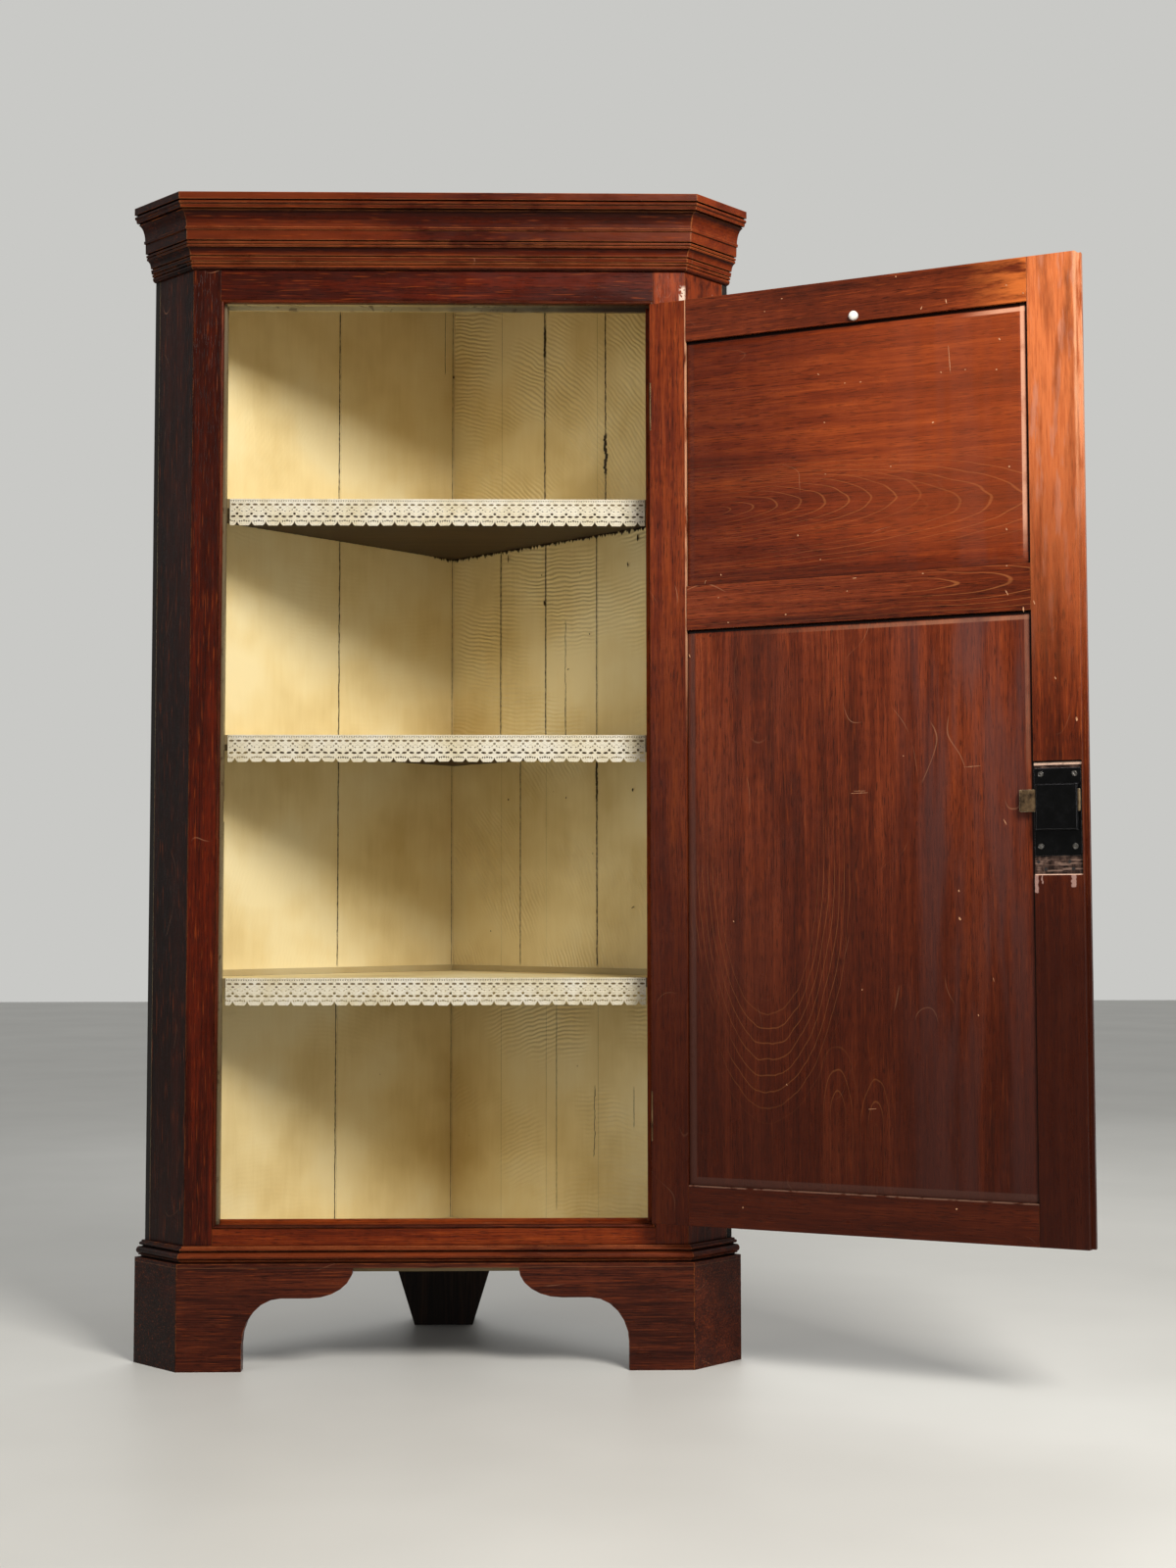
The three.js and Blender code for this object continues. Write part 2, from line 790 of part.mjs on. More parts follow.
// The outline of one shelf's lace as [x, z] below its top edge, with a scalloped hem and one row of slots
function lacePiece(name, top) {
  const half = (doorwayLeft + doorwayRight) / 2 - frame.stopWidth - lace.endClearance;
  const pitch = (2 * half) / lace.scallops;
  const hem = -(lace.drop - lace.scallopDepth);
  const backY = frame.thickness + shelf.clearance - seam;
  const frontY = backY - lace.thickness;
  const outline = [[-half, 0]];
  const slots = [];
  const arcSteps = curveSteps - 2;
  for (let i = 0; i < lace.scallops; i += 1) {
    const start = -half + i * pitch;
    for (let j = i ? 1 : 0; j <= arcSteps; j += 1) {
      const along = j / arcSteps;
      outline.push([start + along * pitch, hem - lace.scallopDepth * Math.sin(Math.PI * along)]);
    }
    for (const middle of [start + pitch / 4, start + (3 * pitch) / 4]) {
      const [x0, x1] = [middle - lace.slotWidth / 2, middle + lace.slotWidth / 2];
      const slot = rectangle(x0, -lace.slotDrop - lace.slotHeight, x1, -lace.slotDrop);
      slots.push(slab(slot, frontY - overrun, backY + overrun));
    }
  }
  outline.push([half, 0]);
  const mesh = piece(name, "lace", cut(slab(outline, frontY, backY), ...slots));
  mesh.position.set((doorwayRight - doorwayLeft) / 2, 0, top);
  return mesh;
}

// Hinges

function hingeSpans() {
  return [doorLow + hinge.endDistance, doorHigh - hinge.endDistance].map((middle) => [
    middle - hinge.height / 2,
    middle + hinge.height / 2,
  ]);
}

// One leaf with its share of the knuckles, round the pin's axis. "near" is the leaf's face that
// looks at the other leaf, the leaf lies from there towards +x or -x, and "bend" is how far it is
// bent over to its knuckles.
function hingeLeaf(name, [low, high], near, direction, bend, firstKnuckle) {
  const pitch = (high - low) / hinge.knuckles;
  const far = near + direction * hinge.leafThickness;
  const [x0, x1] = [Math.min(near, far), Math.max(near, far)];
  let body = block(x0, hinge.pinProud, low, x1, hinge.pinProud + hinge.leafWidth, high);
  for (let i = firstKnuckle; i < hinge.knuckles; i += 2) {
    const [zLow, zHigh] = [low + i * pitch + seam / 2, low + (i + 1) * pitch - seam / 2];
    const tab = block(x0, 0, zLow, x1 + bend, hinge.pinProud - seam, zHigh);
    const neck = block(x0, 0, zLow, x1, hinge.pinProud + seam, zHigh);
    body = join(body, uprightCylinder(hinge.knuckleRadius, zLow, zHigh), tab, neck);
  }
  const bore = hinge.pinRadius + hinge.boreClearance;
  return piece(name, "brass", cut(body, uprightCylinder(bore, low - overrun, high + overrun)));
}

function hingePin(name, [low, high]) {
  const shank = uprightCylinder(hinge.pinRadius, low, high + hinge.pinHead);
  const head = uprightCylinder(hinge.pinHeadRadius, high + seam, high + hinge.pinHead);
  return piece(name, "brass", join(shank, head));
}

const hingeNames = ["lower", "upper"];

function frameHinges() {
  const group = new THREE.Group();
  group.position.set(pinX, -hinge.pinProud, 0);
  hingeSpans().forEach((span, i) => {
    group.add(hingeLeaf(`hinge_${hingeNames[i]}_frame_leaf`, span, -hinge.pinInset, 1, 0, 0));
    group.add(hingePin(`hinge_${hingeNames[i]}_pin`, span));
  });
  return group;
}

function doorHinges() {
  return hingeSpans().map((span, i) =>
    hingeLeaf(`hinge_${hingeNames[i]}_door_leaf`, span, -doorNear, -1, hinge.bend, 1),
  );
}

// Door, in its own frame: the pin is the origin, the free edge lies towards -x when the door is
// closed, and +y goes from its front face to its inner face

const grooveFront = hinge.pinProud + door.grooveSetback;
const grooveBack = grooveFront + door.grooveWidth;
const frontFace = hinge.pinProud;

const topRailEdge = doorHigh - door.topRailWidth;
const middleRailHigh = topRailEdge - door.upperPanelHeight;
const middleRailLow = middleRailHigh - door.middleRailWidth;
const railEdges = {
  top: [topRailEdge, doorHigh],
  middle: [middleRailLow, middleRailHigh],
  bottom: [doorLow, doorLow + door.bottomRailWidth],
};

const plateEnds = [-doorFar + lock.edgeMargin, -doorFar + lock.edgeMargin + lock.plateWidth];
const plateHigh = middleRailLow - lock.railDistance;
const plateLow = plateHigh - lock.plateHeight;
const boltLow = plateLow + lock.boltUp;
const boltHigh = boltLow + lock.boltHeight;

function tenonHeights([low, high]) {
  const shoulder = door.grooveDepth + seam;
  return [low + shoulder, high - shoulder];
}

// Mortises in a stile whose inner edge is at x = edge; "into" points into the stile
function doorMortises(edge, into) {
  return Object.values(railEdges).map((edges) => {
    const [low, high] = tenonHeights(edges);
    const end = edge + into * (door.tenonLength + seam);
    const start = edge - into * overrun;
    return block(Math.min(start, end), grooveFront, low - seam, Math.max(start, end), grooveBack, high + seam);
  });
}

function grooveCutter(edge, into) {
  const end = edge + into * door.grooveDepth;
  const start = edge - into * overrun;
  const [x0, x1] = [Math.min(start, end), Math.max(start, end)];
  return block(x0, grooveFront, doorLow - overrun, x1, grooveBack, doorHigh + overrun);
}

function hingeStile() {
  const body = block(-hingeStileFar, frontFace, doorLow, -doorNear, doorInside, doorHigh);
  const leafSeats = hingeSpans().map(([low, high]) =>
    block(
      -doorNear - hinge.leafThickness - seam,
      frontFace - overrun,
      low - seam,
      -doorNear + overrun,
      frontFace + hinge.leafWidth + seam,
      high + seam,
    ),
  );
  const edge = -hingeStileFar;
  const cutters = [grooveCutter(edge, 1), ...doorMortises(edge, 1), ...leafSeats];
  return piece("door_hinge_stile", "mahogany", cut(body, ...cutters));
}

// The lock stile's free edge is rebated, with a bevelled back edge, and it is sunk for the lock
function lockStile() {
  const lipBack = frontFace + door.lipThickness;
  const plan = [
    [-lockStileNear, frontFace],
    [-doorFar, frontFace],
    [-doorFar, lipBack],
    [-doorFar + door.lipWidth, lipBack],
    [-doorFar + door.lipWidth + door.edgeBevel, doorInside],
    [-lockStileNear, doorInside],
  ];
  const recess = block(
    plateEnds[0] - lock.recessMargin,
    doorInside - lock.recessDepth,
    plateLow - lock.recessDown,
    -lockStileNear + overrun,
    doorInside + overrun,
    plateHigh + lock.recessUp,
  );
  const hole = slab(keyholeOutline(0), frontFace - overrun, doorInside + overrun);
  const rimSeat = slab(keyholeOutline(keyhole.rim + seam), frontFace - overrun, frontFace + keyhole.rimDepth);
  const edge = -lockStileNear;
  const cutters = [grooveCutter(edge, -1), ...doorMortises(edge, -1), recess, hole, rimSeat];
  return piece("door_lock_stile", "mahogany", cut(prism(plan, doorLow, doorHigh), ...cutters));
}

function doorRail(name) {
  const [low, high] = railEdges[name];
  const [x0, x1] = [-lockStileNear + seam, -hingeStileFar - seam];
  const [tenonLow, tenonHigh] = tenonHeights(railEdges[name]);
  const tongue = block(
    x0 - seam - door.tenonLength,
    grooveFront + seam,
    tenonLow,
    x1 + seam + door.tenonLength,
    grooveBack - seam,
    tenonHigh,
  );
  const body = join(block(x0, frontFace, low, x1, doorInside, high), tongue);
  const groove = (from, to) => block(x0 - overrun, grooveFront, from, x1 + overrun, grooveBack, to);
  const grooves = [];
  if (name !== "top") grooves.push(groove(high - door.grooveDepth, high + overrun));
  if (name !== "bottom") grooves.push(groove(low - overrun, low + door.grooveDepth));
  return piece(`door_${name}_rail`, "mahogany", cut(body, ...grooves));
}

// A panel, fielded on the front and feathered on the back, with its edge in the frame's grooves
function doorPanel(name, low, high) {
  const ring = (inset, y) => {
    const [x0, x1] = [-lockStileNear + inset, -hingeStileFar - inset];
    return [[x0, y, low + inset], [x1, y, low + inset], [x1, y, high - inset], [x0, y, high - inset]];
  };
  const tongueFront = grooveFront + seam;
  const tongueBack = grooveBack - seam;
  const field = frontFace + panel.frontRecess;
  return piece(name, "mahogany", loft([
    ring(panel.frontMargin, field),
    ring(panel.frontMargin, field + panel.frontStep),
    ring(0, tongueFront),
    ring(-panel.tongueDepth, tongueFront),
    ring(-panel.tongueDepth, tongueBack),
    ring(0, tongueBack),
    ring(panel.backMargin, doorInside - panel.backRecess),
  ]));
}

// Lock

const plateBack = doorInside - lock.recessDepth + seam;
const plateFace = plateBack + lock.plateThickness;
const boltNear = doorInside + lock.boltLift;
const boltFar = boltNear + lock.boltThickness;

// A keyhole as [x, z]: a round eye over a slot, all of it wider by "grow"
function keyholeOutline(grow) {
  const middle = (plateEnds[0] + plateEnds[1]) / 2;
  const radius = keyhole.eyeRadius + grow;
  const half = keyhole.slotWidth / 2 + grow;
  const start = Math.asin(half / radius);
  const height = plateLow + keyhole.up;
  const points = [
    [middle + half, height - keyhole.slotDrop - grow],
    [middle - half, height - keyhole.slotDrop - grow],
  ];
  for (let i = roundSides; i >= 0; i -= 1) {
    const turn = start + (i / roundSides) * 2 * (Math.PI - start);
    points.push([middle + radius * Math.sin(turn), height - radius * Math.cos(turn)]);
  }
  return points;
}

function escutcheon() {
  const back = frontFace + keyhole.rimDepth - seam;
  const rim = slab(keyholeOutline(keyhole.rim), frontFace, back);
  const hole = slab(keyholeOutline(0), frontFace - overrun, back + overrun);
  return piece("keyhole_escutcheon", "brass", cut(rim, hole));
}

function lockPlate() {
  const [x0, x1] = plateEnds;
  return piece("lock_plate", "japannedIron", block(x0, plateBack, plateLow, x1, plateFace, plateHigh));
}

// The case is a shallow box with turned edges, open at both sides where the bolt runs through
function lockCase() {
  const [x0, x1] = [plateEnds[0] + lock.caseInset, plateEnds[1] - lock.caseInset];
  const low = plateLow + lock.caseUp;
  const high = low + lock.caseHeight;
  const back = plateFace + seam + lock.caseThickness;
  const edge = lock.plateThickness;
  const ring = (inset, y) => [
    [x0 + inset, y, low + inset],
    [x1 - inset, y, low + inset],
    [x1 - inset, y, high - inset],
    [x0 + inset, y, high - inset],
  ];
  const shell = loft([ring(0, plateFace + seam), ring(0, back - edge), ring(edge, back)]);
  const tunnel = block(
    x0 - overrun,
    boltNear - seam,
    boltLow - seam,
    x1 + overrun,
    boltFar + seam,
    boltHigh + seam,
  );
  return piece("lock_case", "japannedIron", cut(shell, tunnel));
}

function lockBolt() {
  const [x0, x1] = [plateEnds[0], plateEnds[1] + lock.boltTail];
  const edge = lock.boltThickness / 4;
  const ring = (inset, x) => [
    [x, boltNear + inset, boltLow + inset],
    [x, boltFar - inset, boltLow + inset],
    [x, boltFar - inset, boltHigh - inset],
    [x, boltNear + inset, boltHigh - inset],
  ];
  const rings = [ring(edge, x0), ring(0, x0 + edge), ring(0, x1 - edge), ring(edge, x1)];
  return piece("lock_bolt", "brass", loft(rings));
}

// A small domed buffer on the inner face of the top rail
function buffer() {
  const { radius, height } = stopButton;
  const corners = [[0, 0], [radius, 0], [radius, height / 2]];
  const profile = corners.map(([x, y]) => new THREE.Vector2(x, y));
  for (let i = 1; i <= curveSteps; i += 1) {
    const turn = (i / curveSteps) * (Math.PI / 2);
    profile.push(new THREE.Vector2(radius * Math.cos(turn), (height / 2) * (1 + Math.sin(turn))));
  }
  profile[profile.length - 1].x = 0;
  const mesh = piece("door_buffer", "whiteRubber", new THREE.LatheGeometry(profile, roundSides));
  mesh.position.set(-doorFar / 2, doorInside + seam, topRailEdge + stopButton.aboveRailEdge);
  return mesh;
}

function buildDoor() {
  const group = new THREE.Group();
  group.position.set(pinX, -hinge.pinProud, 0);
  group.rotation.z = door.openAngle;
  group.add(hingeStile(), lockStile(), doorRail("top"), doorRail("middle"), doorRail("bottom"));
  group.add(doorPanel("door_panel_lower", railEdges.bottom[1], railEdges.middle[0]));
  group.add(doorPanel("door_panel_upper", railEdges.middle[1], railEdges.top[0]));
  group.add(...doorHinges());
  group.add(lockPlate(), lockCase(), lockBolt(), escutcheon(), buffer());
  return group;
}

function buildCarcass() {
  const group = new THREE.Group();
  const corniceSection = mouldSection(cornice, overallHeight, 1, corniceShares);
  const baseTop = plinth.height + seam + baseMould.height;
  const baseSection = mouldSection(baseMould, baseTop, baseMould.topShare, baseMouldShares);
  group.add(...mouldedSet("cornice", "mahogany", corniceSection));
  group.add(...mouldedSet("base_mould", "mahogany", baseSection));
  group.add(...plinthPieces(), ...footBlocks(), backFootPiece());
  group.add(leftStile(), rightStile(), frameTopRail(), frameBottomRail(), ...doorwayBeads());
  group.add(...cantedSides());
  group.add(...backWall(-1, leftBoardWidths, wallLength));
  group.add(...backWall(1, rightBoardWidths, wallLength - wallThickness - seam));
  group.add(topBoard(), bottomBoard(), ...shelves(), ...shelfBattens());
  shelfTops.forEach((top, i) => group.add(lacePiece(`lace_edging_${i + 1}`, top)));
  group.add(frameHinges());
  return group;
}

const cupboard = new THREE.Group();
cupboard.add(buildCarcass(), buildDoor());
cupboard.position.set(-backFoot.sideways, -backFootFront - backFoot.footDepth / 2, 0);

export default cupboard;
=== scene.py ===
import bpy
import bmesh
import json
import math
import random
from mathutils import Matrix, Vector, noise


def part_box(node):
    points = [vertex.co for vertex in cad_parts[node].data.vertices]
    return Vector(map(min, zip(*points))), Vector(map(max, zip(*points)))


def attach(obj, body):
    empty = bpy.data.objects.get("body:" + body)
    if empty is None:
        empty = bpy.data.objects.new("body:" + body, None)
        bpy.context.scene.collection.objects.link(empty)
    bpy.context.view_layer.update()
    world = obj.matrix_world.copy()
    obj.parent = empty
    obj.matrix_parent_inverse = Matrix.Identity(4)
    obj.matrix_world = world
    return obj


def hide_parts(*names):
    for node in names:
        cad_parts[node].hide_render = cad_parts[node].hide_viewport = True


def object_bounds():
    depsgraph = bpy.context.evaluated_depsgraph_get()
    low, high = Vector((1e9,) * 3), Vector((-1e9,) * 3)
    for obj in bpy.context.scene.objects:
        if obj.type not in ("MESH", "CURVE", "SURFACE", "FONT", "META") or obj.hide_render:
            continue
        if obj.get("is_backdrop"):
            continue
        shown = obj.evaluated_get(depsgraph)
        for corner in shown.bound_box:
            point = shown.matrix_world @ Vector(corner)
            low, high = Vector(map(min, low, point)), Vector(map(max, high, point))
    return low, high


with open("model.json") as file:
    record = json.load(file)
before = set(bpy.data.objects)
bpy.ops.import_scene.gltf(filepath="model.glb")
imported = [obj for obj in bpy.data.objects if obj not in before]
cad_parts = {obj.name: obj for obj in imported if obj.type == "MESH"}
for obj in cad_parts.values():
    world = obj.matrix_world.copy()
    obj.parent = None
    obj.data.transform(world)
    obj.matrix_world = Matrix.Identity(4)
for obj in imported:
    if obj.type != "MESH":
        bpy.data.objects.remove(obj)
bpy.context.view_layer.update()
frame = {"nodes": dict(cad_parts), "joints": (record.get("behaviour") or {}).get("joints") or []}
nodes = frame["nodes"]
joints = {j["name"]: j for j in frame["joints"]}

# Places that the solids give. Lengths are in metres, in the part's own frame.
stileLow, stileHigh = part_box("frame_stile_right")
frontY = stileLow.y  # the front face of the cupboard
railLow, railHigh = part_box("frame_bottom_rail")
boardThickness = 0.012
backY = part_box("top_board")[1].y - boardThickness * math.sqrt(2)
backCorner = Vector(((railLow.x + railHigh.x) / 2, backY, 0))  # where the painted backs meet
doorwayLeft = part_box("door_bead_lock_side")[1].x  # the doorway lies between the beads
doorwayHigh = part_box("door_bead_top")[0].z
bead = {"wide": 0.0052, "deep": 0.0088, "soft": 0.0002}

pin = Vector(joints["door_hinge"]["pos_m"])
alongDoor = Vector(joints["bolt_slide"]["axis"])  # from the pin to the free edge
intoDoor = Vector((alongDoor.y, -alongDoor.x, 0))  # from the front face to the inner face
openAngle = math.atan2(-alongDoor.y, -alongDoor.x)
doorThickness = 0.022
pinProud = 0.0045  # the pin stands this far in front of the door's face
doorInside = pinProud + doorThickness


def doorPoint(s, d, z):
    # A place on the door: s from the pin, d from its front face, z above the floor
    p = pin + alongDoor * s + intoDoor * (d + pinProud)
    return Vector((p.x, p.y, z))


def alongWall(side):
    # Out of the inner corner along a back. The left back's side is -1 and the right one's is 1.
    return Vector((side, -1, 0)) / math.sqrt(2)


def fromWall(side):
    # The way that a back's painted face looks
    return Vector((-side, -1, 0)) / math.sqrt(2)


def wallPoint(side, u, z):
    # A place on a back's painted face, u from the inner corner
    p = backCorner + alongWall(side) * u
    return Vector((p.x, p.y, z))


def linked(name, data):
    obj = bpy.data.objects.new(name, data)
    bpy.context.scene.collection.objects.link(obj)
    return obj


def rgb(code):
    # A colour that is written as #rrggbb, in the linear values that shaders take
    parts = [int(code[i:i + 2], 16) / 255 for i in (1, 3, 5)]
    return tuple(c / 12.92 if c < 0.04045 else ((c + 0.055) / 1.055) ** 2.4 for c in parts) + (1.0,)


def feed(tree, socket, value):
    # A socket takes a node's output, a number, a vector or a colour's code
    if isinstance(value, bpy.types.NodeSocket):
        tree.links.new(value, socket)
    else:
        socket.default_value = rgb(value) if isinstance(value, str) else value


def newNode(tree, kind, inputs=(), **settings):
    # A shader node. inputs holds what its sockets take, in turn or by their names or numbers.
    node = tree.nodes.new("ShaderNode" + kind)
    for key, value in settings.items():
        setattr(node, key, value)
    for key, value in inputs.items() if isinstance(inputs, dict) else enumerate(inputs):
        feed(tree, node.inputs[key], value)
    return node


class Shader:
    # A material, and short names for the nodes that it is built from

    def __init__(self, name, roughness=0.5, metallic=0.0, **sockets):
        self.material = bpy.data.materials.new(name)
        self.material.use_nodes = True
        self.tree = self.material.node_tree
        self.tree.nodes.clear()
        self.surface = self.node("BsdfPrincipled")
        self.node("OutputMaterial", (self.surface.outputs[0],))
        self.set("Roughness", roughness)
        self.set("Metallic", metallic)
        for key, value in sockets.items():
            self.set(key.replace("_", " "), value)

    def node(self, kind, inputs=(), **settings):
        return newNode(self.tree, kind, inputs, **settings)

    def set(self, name, value):
        feed(self.tree, self.surface.inputs[name], value)

    def place(self):
        return self.node("TexCoord").outputs["Object"]

    def normal(self):
        return self.node("NewGeometry").outputs["Normal"]

    def turned(self, p, about, angle):
        # p in axes that stand at an angle, about an upright line
        back = Matrix.Rotation(-angle, 3, "Z") @ about
        return self.node("Mapping", {"Vector": p, "Location": -back, "Rotation": (0, 0, -angle)}).outputs[0]

    def scaled(self, p, scale, shift=(0, 0, 0)):
        return self.node("Mapping", {"Vector": p, "Scale": scale, "Location": shift}).outputs[0]

    def joined(self, *parts):
        return self.node("CombineXYZ", parts).outputs[0]

    def split(self, p):
        return tuple(self.node("SeparateXYZ", (p,)).outputs)

    def swapped(self, p, order):
        parts = self.split(p)
        return self.joined(*(parts["XYZ".index(axis)] for axis in order))

    def math(self, kind, a, b=0.0, clamp=False):
        return self.node("Math", (a, b), operation=kind, use_clamp=clamp).outputs[0]

    def add(self, whole, *others):
        for other in others:
            whole = self.math("ADD", whole, other)
        return whole

    def times(self, whole, *others):
        for other in others:
            whole = self.math("MULTIPLY", whole, other)
        return whole

    def either(self, whole, *others):
        for other in others:
            whole = self.math("MAXIMUM", whole, other)
        return whole

    def minus(self, a, b):
        return self.math("SUBTRACT", a, b)

    def sway(self, value, reach):
        # A noise turned into a sway about nought
        return self.times(self.minus(value, 0.5), reach)

    def blend(self, a, shareA, b, shareB):
        return self.add(self.times(a, shareA), self.times(b, shareB))

    def radius(self, a, b):
        return self.math("SQRT", self.add(self.times(a, a), self.times(b, b)))

    def dot(self, p, v):
        return self.node("VectorMath", (p, v), operation="DOT_PRODUCT").outputs["Value"]

    def faces(self, way, start=0.6, end=0.8):
        # 1 on the faces that look that way
        return self.fade(self.dot(self.normal(), tuple(way)), start, end)

    def noise(self, p, scale, detail=4.0, rough=0.55, warp=0.0):
        return self.node("TexNoise", {"Vector": p, "Scale": scale, "Detail": detail, "Roughness": rough,
                                      "Distortion": warp}).outputs["Fac"]

    def grain(self, p, squeeze, scale, detail=4.0, rough=0.55, warp=0.0, shift=(0, 0, 0)):
        # Noise in streaks along z, which are longer where squeeze is smaller
        return self.noise(self.scaled(p, (1, 1, squeeze), shift), scale, detail, rough, warp)

    def cells(self, p, scale, chance=1.0):
        # The distance from scattered points, and a random number for each point
        node = self.node("TexVoronoi", {"Vector": p, "Scale": scale, "Randomness": chance})
        parts = self.node("SeparateColor", (node.outputs["Color"],))
        return node.outputs["Distance"], parts.outputs[0]

    def fade(self, value, start, end, low=0.0, high=1.0):
        # low until start, high from end on, and smooth between them
        inputs = (value, start, end, low, high)
        return self.node("MapRange", inputs, interpolation_type="SMOOTHSTEP").outputs[0]

    def band(self, value, low, high, soft):
        # 1 between low and high, and 0 outside them
        rise = self.fade(value, low - soft, low + soft)
        return self.times(rise, self.fade(value, high - soft, high + soft, 1.0, 0.0))

    def mix(self, share, a, b):
        return self.node("Mix", {0: share, 6: a, 7: b}, data_type="RGBA").outputs[2]

    def tint(self, colour, mask, share, code):
        # The colour, with a share of another one where the mask is
        return self.mix(self.times(mask, share), colour, code)

    def ramp(self, value, stops):
        node = self.node("ValToRGB", (value,))
        points = node.color_ramp.elements
        while len(points) < len(stops):
            points.new(0.5)
        for point, (at, code) in zip(points, stops):
            point.position = at
            point.color = rgb(code)
        return node.outputs[0]

    def streaks(self, value, tones, start, end):
        # A dark, a middle and a light tone
        return self.ramp(value, list(zip((start, 0.5, end), tones)))

    def edges(self, radius, gain=6.0):
        # The normal with rounded edges, and how near a place is to an edge
        rounded = self.node("Bevel", {"Radius": radius}, samples=4).outputs[0]
        return rounded, self.times(self.minus(1.0, self.dot(rounded, self.normal())), gain)

    def crevices(self, distance):
        clear = self.node("AmbientOcclusion", {"Distance": distance}, samples=6).outputs["AO"]
        return self.minus(1.0, clear)

    def bump(self, height, distance, normal=None, strength=1.0):
        inputs = {"Height": height, "Distance": distance, "Strength": strength}
        if normal is not None:
            inputs["Normal"] = normal
        self.set("Normal", self.node("Bump", inputs).outputs[0])


def finish(node, material):
    obj = nodes[node]
    obj.data.materials.clear()
    obj.data.materials.append(material)


def grainSpace(g, along, door, shift):
    # Coordinates with z along the grain and x across it, as they are and shifted
    p = g.place()
    if door:
        p = g.turned(p, Vector((pin.x, pin.y, 0)), openAngle)
    if along == "x":
        p = g.swapped(p, "ZYX")
    return p, g.scaled(p, (1, 1, 1), shift)


# Dark, middle and light streaks of the wood
mahoganyTones = {
    # deep is a darker copy for the pieces that face left: painted shade on the side away from the light
    "deep": ("#0b0301", "#1c0703", "#341006"),
    "plain": ("#200702", "#431405", "#702a0c"),
    "red": ("#190401", "#360c02", "#5e1a05"),
    "warm": ("#340e03", "#642208", "#964217"),
    "door": ("#310f04", "#5b210b", "#82381a"),
    "dull": ("#1a0704", "#40180c", "#642a14"),
}
# What the wood's surface carries: a colour and how much of it shows
woodSurface = {
    "pores": (0.6, "#140401"), "gleam": (0.22, "#b0501c"), "nicks": (0.45, "#bb7c4c"),
    # The grime in the crevices is partly painted shade
    "scratches": (0.35, "#b98260"), "grimeAndShade": (0.92, "#0b0302"), "rings": "#c47a44",
    "haze": "#4a2a20", "worn": "#b0602c",
}


def rings(g, p, q, drift, figure):
    # Growth rings as nested arcs. figure gives the nest's centre across the grain, the level along
    # it where the arcs end, how pointed they are, their spacing, and between which radii they show.
    centre, level, slope, spacing, inner, extent = figure
    x, _, z = g.split(p)
    across = g.add(g.minus(x, centre), g.sway(drift, 0.025))
    rise = g.minus(level, z) if slope > 0 else g.minus(z, level)
    rise = g.times(g.either(rise, 0.0), abs(slope))
    radius = g.radius(across, rise)
    uneven = g.sway(g.grain(q, 0.3, 26.0, 2.0), spacing * 0.9)
    ring = g.math("SINE", g.times(g.add(radius, uneven), 2 * math.pi / spacing))
    shown = g.band(radius, inner, extent, 0.010)
    patchy = g.fade(g.grain(q, 0.35, 16.0, 2.0), 0.28, 0.48)
    low = g.fade(rise, 0.0, 0.010, 0.35, 1.0)
    return g.times(g.fade(ring, 0.93, 1.0), g.times(shown, patchy, low))


